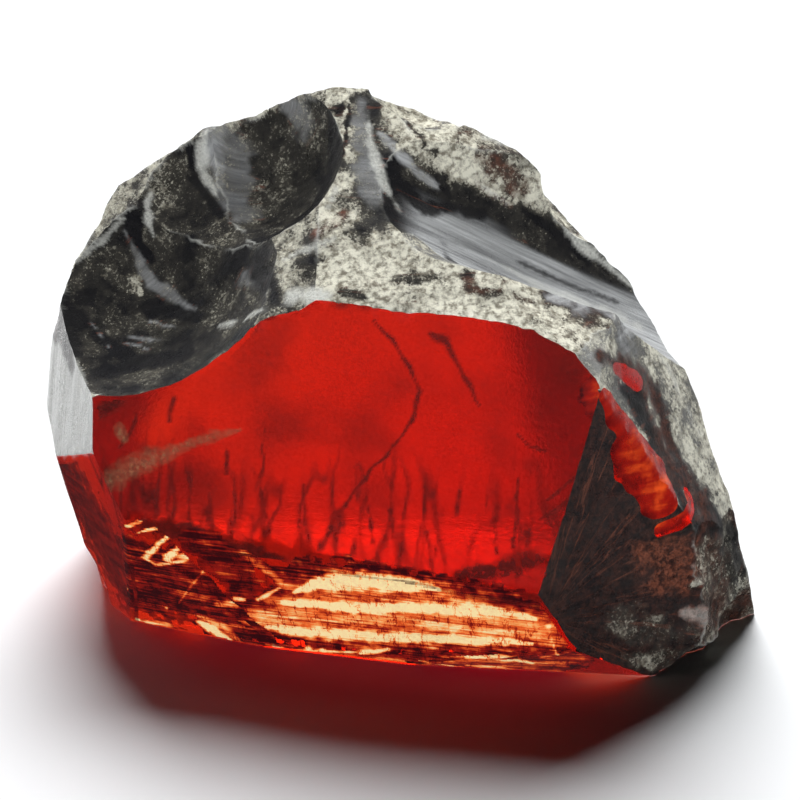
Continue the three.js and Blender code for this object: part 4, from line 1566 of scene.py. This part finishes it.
class GARNET_OT_make_stone(bpy.types.Operator):
    """Makes the stone with its clear and broken faces"""
    bl_idname = "garnet.make_stone"
    bl_label = "Make the stone"

    def execute(self, context):
        garnet = context.scene.garnet
        stone = make_stone(garnet.sizes.fineness)
        if len(stone.data.polygons) >= MOST_TRIANGLES:
            raise RuntimeError("the stone's mesh is too fine: raise its edge length")
        stone.data.materials.append(clear_garnet(garnet.look))
        stone.data.materials.append(broken_rind(garnet.look))
        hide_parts(NODE)
        ride_with_stone(stone)
        return {"FINISHED"}


class GARNET_OT_make_embers(bpy.types.Operator):
    """Makes the films that shine by themselves behind the lower faces and the fan, a painted glow, and
    the dark film behind the left corner, painted shade
    """
    bl_idname = "garnet.make_embers"
    bl_label = "Make the embers"

    def execute(self, context):
        garnet = context.scene.garnet
        lively = ember(garnet.look, "ember", 1.0)
        calm = ember(garnet.look, "calm_ember", CALM_UNREST)
        for number, (name, plan) in enumerate(SHEETS.items()):
            sheet = make_sheet(name, plan, SHEET_THRESHOLD, garnet.sizes.seed + 10 * number)
            sheet.data.materials.append(calm if name in CALM_SHEETS else lively)
            ride_with_stone(sheet)
        return {"FINISHED"}


class GARNET_OT_make_flaws(bpy.types.Operator):
    """Makes the dark veils and the healed vein behind the window"""
    bl_idname = "garnet.make_flaws"
    bl_label = "Make the flaws"

    def execute(self, context):
        look, sizes = context.scene.garnet.look, context.scene.garnet.sizes
        dark = dark_flaw(look)
        for number, name in enumerate(VEILS):
            veil = make_veil(name, sizes.veil_density, sizes.seed + 20 * number)
            veil.data.materials.append(dark)
            ride_with_stone(veil)
        vein = make_sheet("healed_vein", VEIN, VEIN_THRESHOLD, sizes.seed + 3)
        vein.data.materials.append(healed_vein(look))
        ride_with_stone(vein)
        return {"FINISHED"}


FLOOR_HALF = 1.5              # metres
FLOOR_GAP = 0.00002
FLOOR_COLOUR = (0.845, 0.86, 0.875)
LOOK_AT = np.array([0, 0, 8.3])
NEAREST_SEEN = 0.001
WORLD_NEAR, WORLD_LOW, WORLD_FAR = 0.15, 0.04, 3.6      # brightness of reflections
WORLD_SEEN = 1.0              # brightness of the plain background,
WORLD_THROUGH = (0.38, 0.9)   # of what shows through the stone, to the front and behind it,
WORLD_ON_FLOOR = 0.001        # and of what falls on the floor
SUN_AWAY = 0.3
FILL_SIZE = 0.12
FILLS = (      # name, place from the stone in metres, share of the fill strength
    ("fill_top", (0.05, -0.12, 0.16), 1.0), ("fill_left", (-0.17, -0.03, 0.06), 0.2),
)


def make_floor():
    """A plain pale floor just under the stone."""
    reach, low = FLOOR_HALF, CAD_BOX[0][2] - FLOOR_GAP
    mesh = bpy.data.meshes.new("floor")
    corners = [(-reach, -reach, low), (reach, -reach, low), (reach, reach, low),
               (-reach, reach, low)]
    mesh.from_pydata(corners, [], [(0, 1, 2, 3)])
    floor = bpy.data.objects.new("floor", mesh)
    bpy.context.scene.collection.objects.link(floor)
    material, tree, shader = new_material("pale_floor")
    fill_in(tree, shader, {"Base Color": FLOOR_COLOUR, "Roughness": 1.0,
                           "Specular IOR Level": 0.0})
    mesh.materials.append(material)
    floor.visible_glossy = False


def make_world():
    """Soft daylight that is brightest behind the stone. The floor gets only a little of it,
    and the camera sees plain white."""
    world = bpy.data.worlds.new("daylight")
    bpy.context.scene.world = world
    world.use_nodes = True
    tree = world.node_tree
    way = add(tree, "ShaderNodeTexCoord", {})["Generated"]
    x, y, z = add(tree, "ShaderNodeSeparateXYZ", {0: way})[0:3]
    behind = rescale(tree, y, 0.3, 0.65, 0.0, WORLD_FAR)
    above = rescale(tree, z, 0.2, 0.6, 1.0, 0.12)
    below = rescale(tree, z, -0.45, -0.2, 0.0, 1.0)
    leftward = rescale(tree, x, -0.2, 0.3, 1.0, 0.12)
    far = times(tree, times(tree, behind, times(tree, above, below)), leftward)
    near = rescale(tree, z, -0.2, 0.3, WORLD_LOW, WORLD_NEAR)
    through = rescale(tree, y, -0.9, 0.5, *WORLD_THROUGH)
    path = add(tree, "ShaderNodeLightPath", {})
    strength = plus(tree, far, near)
    strength = blend_values(tree, path["Is Transmission Ray"], strength, through)
    strength = blend_values(tree, path["Is Diffuse Ray"], strength, WORLD_ON_FLOOR)
    strength = blend_values(tree, path["Is Camera Ray"], strength, WORLD_SEEN)
    fill_in(tree, tree.nodes["Background"], {"Color": WHITE, "Strength": strength})


def aim(obj, place, target):
    obj.location = place
    obj.rotation_euler = (Vector(place) - Vector(target)).to_track_quat("Z", "Y").to_euler()
    bpy.context.scene.collection.objects.link(obj)


def make_lights(stage, target):
    """A broad soft light from behind, and a soft fill on the stone's front."""
    up, turn = stage.key_height, stage.key_turn
    way = Vector((math.cos(up) * math.sin(turn), math.cos(up) * math.cos(turn), math.sin(up)))
    key = bpy.data.lights.new("key", "SUN")
    key.energy = stage.key_strength
    key.angle = stage.key_width
    sun = bpy.data.objects.new("key", key)
    sun.visible_glossy = False
    aim(sun, target + way * SUN_AWAY, target)
    stone_only = bpy.data.collections.new("lit_by_fill")
    stone_only.objects.link(bpy.data.objects["garnet_stone"])
    for name, place, share in FILLS:
        light = bpy.data.lights.new(name, "AREA")
        light.energy = stage.fill_strength * share
        light.size = FILL_SIZE
        fill = bpy.data.objects.new(name, light)
        fill.visible_glossy = False
        fill.visible_transmission = False
        aim(fill, target + Vector(place), target)
        fill.light_linking.receiver_collection = stone_only


def make_camera(stage, target):
    lens = bpy.data.cameras.new("camera")
    lens.lens = stage.lens
    lens.clip_start = NEAREST_SEEN
    camera = bpy.data.objects.new("camera", lens)
    height = stage.camera_height
    back = Vector((0, -math.cos(height), math.sin(height)))
    aim(camera, target + back * stage.camera_distance, target)
    bpy.context.scene.camera = camera


class GARNET_OT_make_stage(bpy.types.Operator):
    """Makes the floor, the lights and the camera"""
    bl_idname = "garnet.make_stage"
    bl_label = "Make the stage"

    def execute(self, context):
        stage = context.scene.garnet.stage
        target = Vector((LOOK_AT + STONE_PLACE) * MM)
        make_floor()
        make_world()
        make_lights(stage, target)
        make_camera(stage, target)
        context.scene.view_settings.view_transform = "Standard"
        return {"FINISHED"}


class GARNET_PT_panel(bpy.types.Panel):
    """Steps and settings for the garnet"""
    bl_label = "Garnet crystal"
    bl_idname = "GARNET_PT_panel"
    bl_space_type = "VIEW_3D"
    bl_region_type = "UI"
    bl_category = "Garnet"

    def draw(self, context):
        for step in STEPS:
            self.layout.operator(step.bl_idname)
        garnet = context.scene.garnet
        for group in (garnet.sizes, garnet.look, garnet.stage):
            box = self.layout.box()
            for name in group.__annotations__:
                box.prop(group, name)


STEPS = (GARNET_OT_make_stone, GARNET_OT_make_embers, GARNET_OT_make_flaws,
         GARNET_OT_make_stage)
CLASSES = (GarnetLook, GarnetSizes, GarnetStage, GarnetSettings, *STEPS, GARNET_PT_panel)


def register():
    for made in CLASSES:
        bpy.utils.register_class(made)
    bpy.types.Scene.garnet = PointerProperty(type=GarnetSettings)


def unregister():
    del bpy.types.Scene.garnet
    for made in reversed(CLASSES):
        bpy.utils.unregister_class(made)


def main():
    register()
    bpy.ops.garnet.make_stone()
    bpy.ops.garnet.make_embers()
    bpy.ops.garnet.make_flaws()
    bpy.ops.garnet.make_stage()


if __name__ == "__main__":
    main()
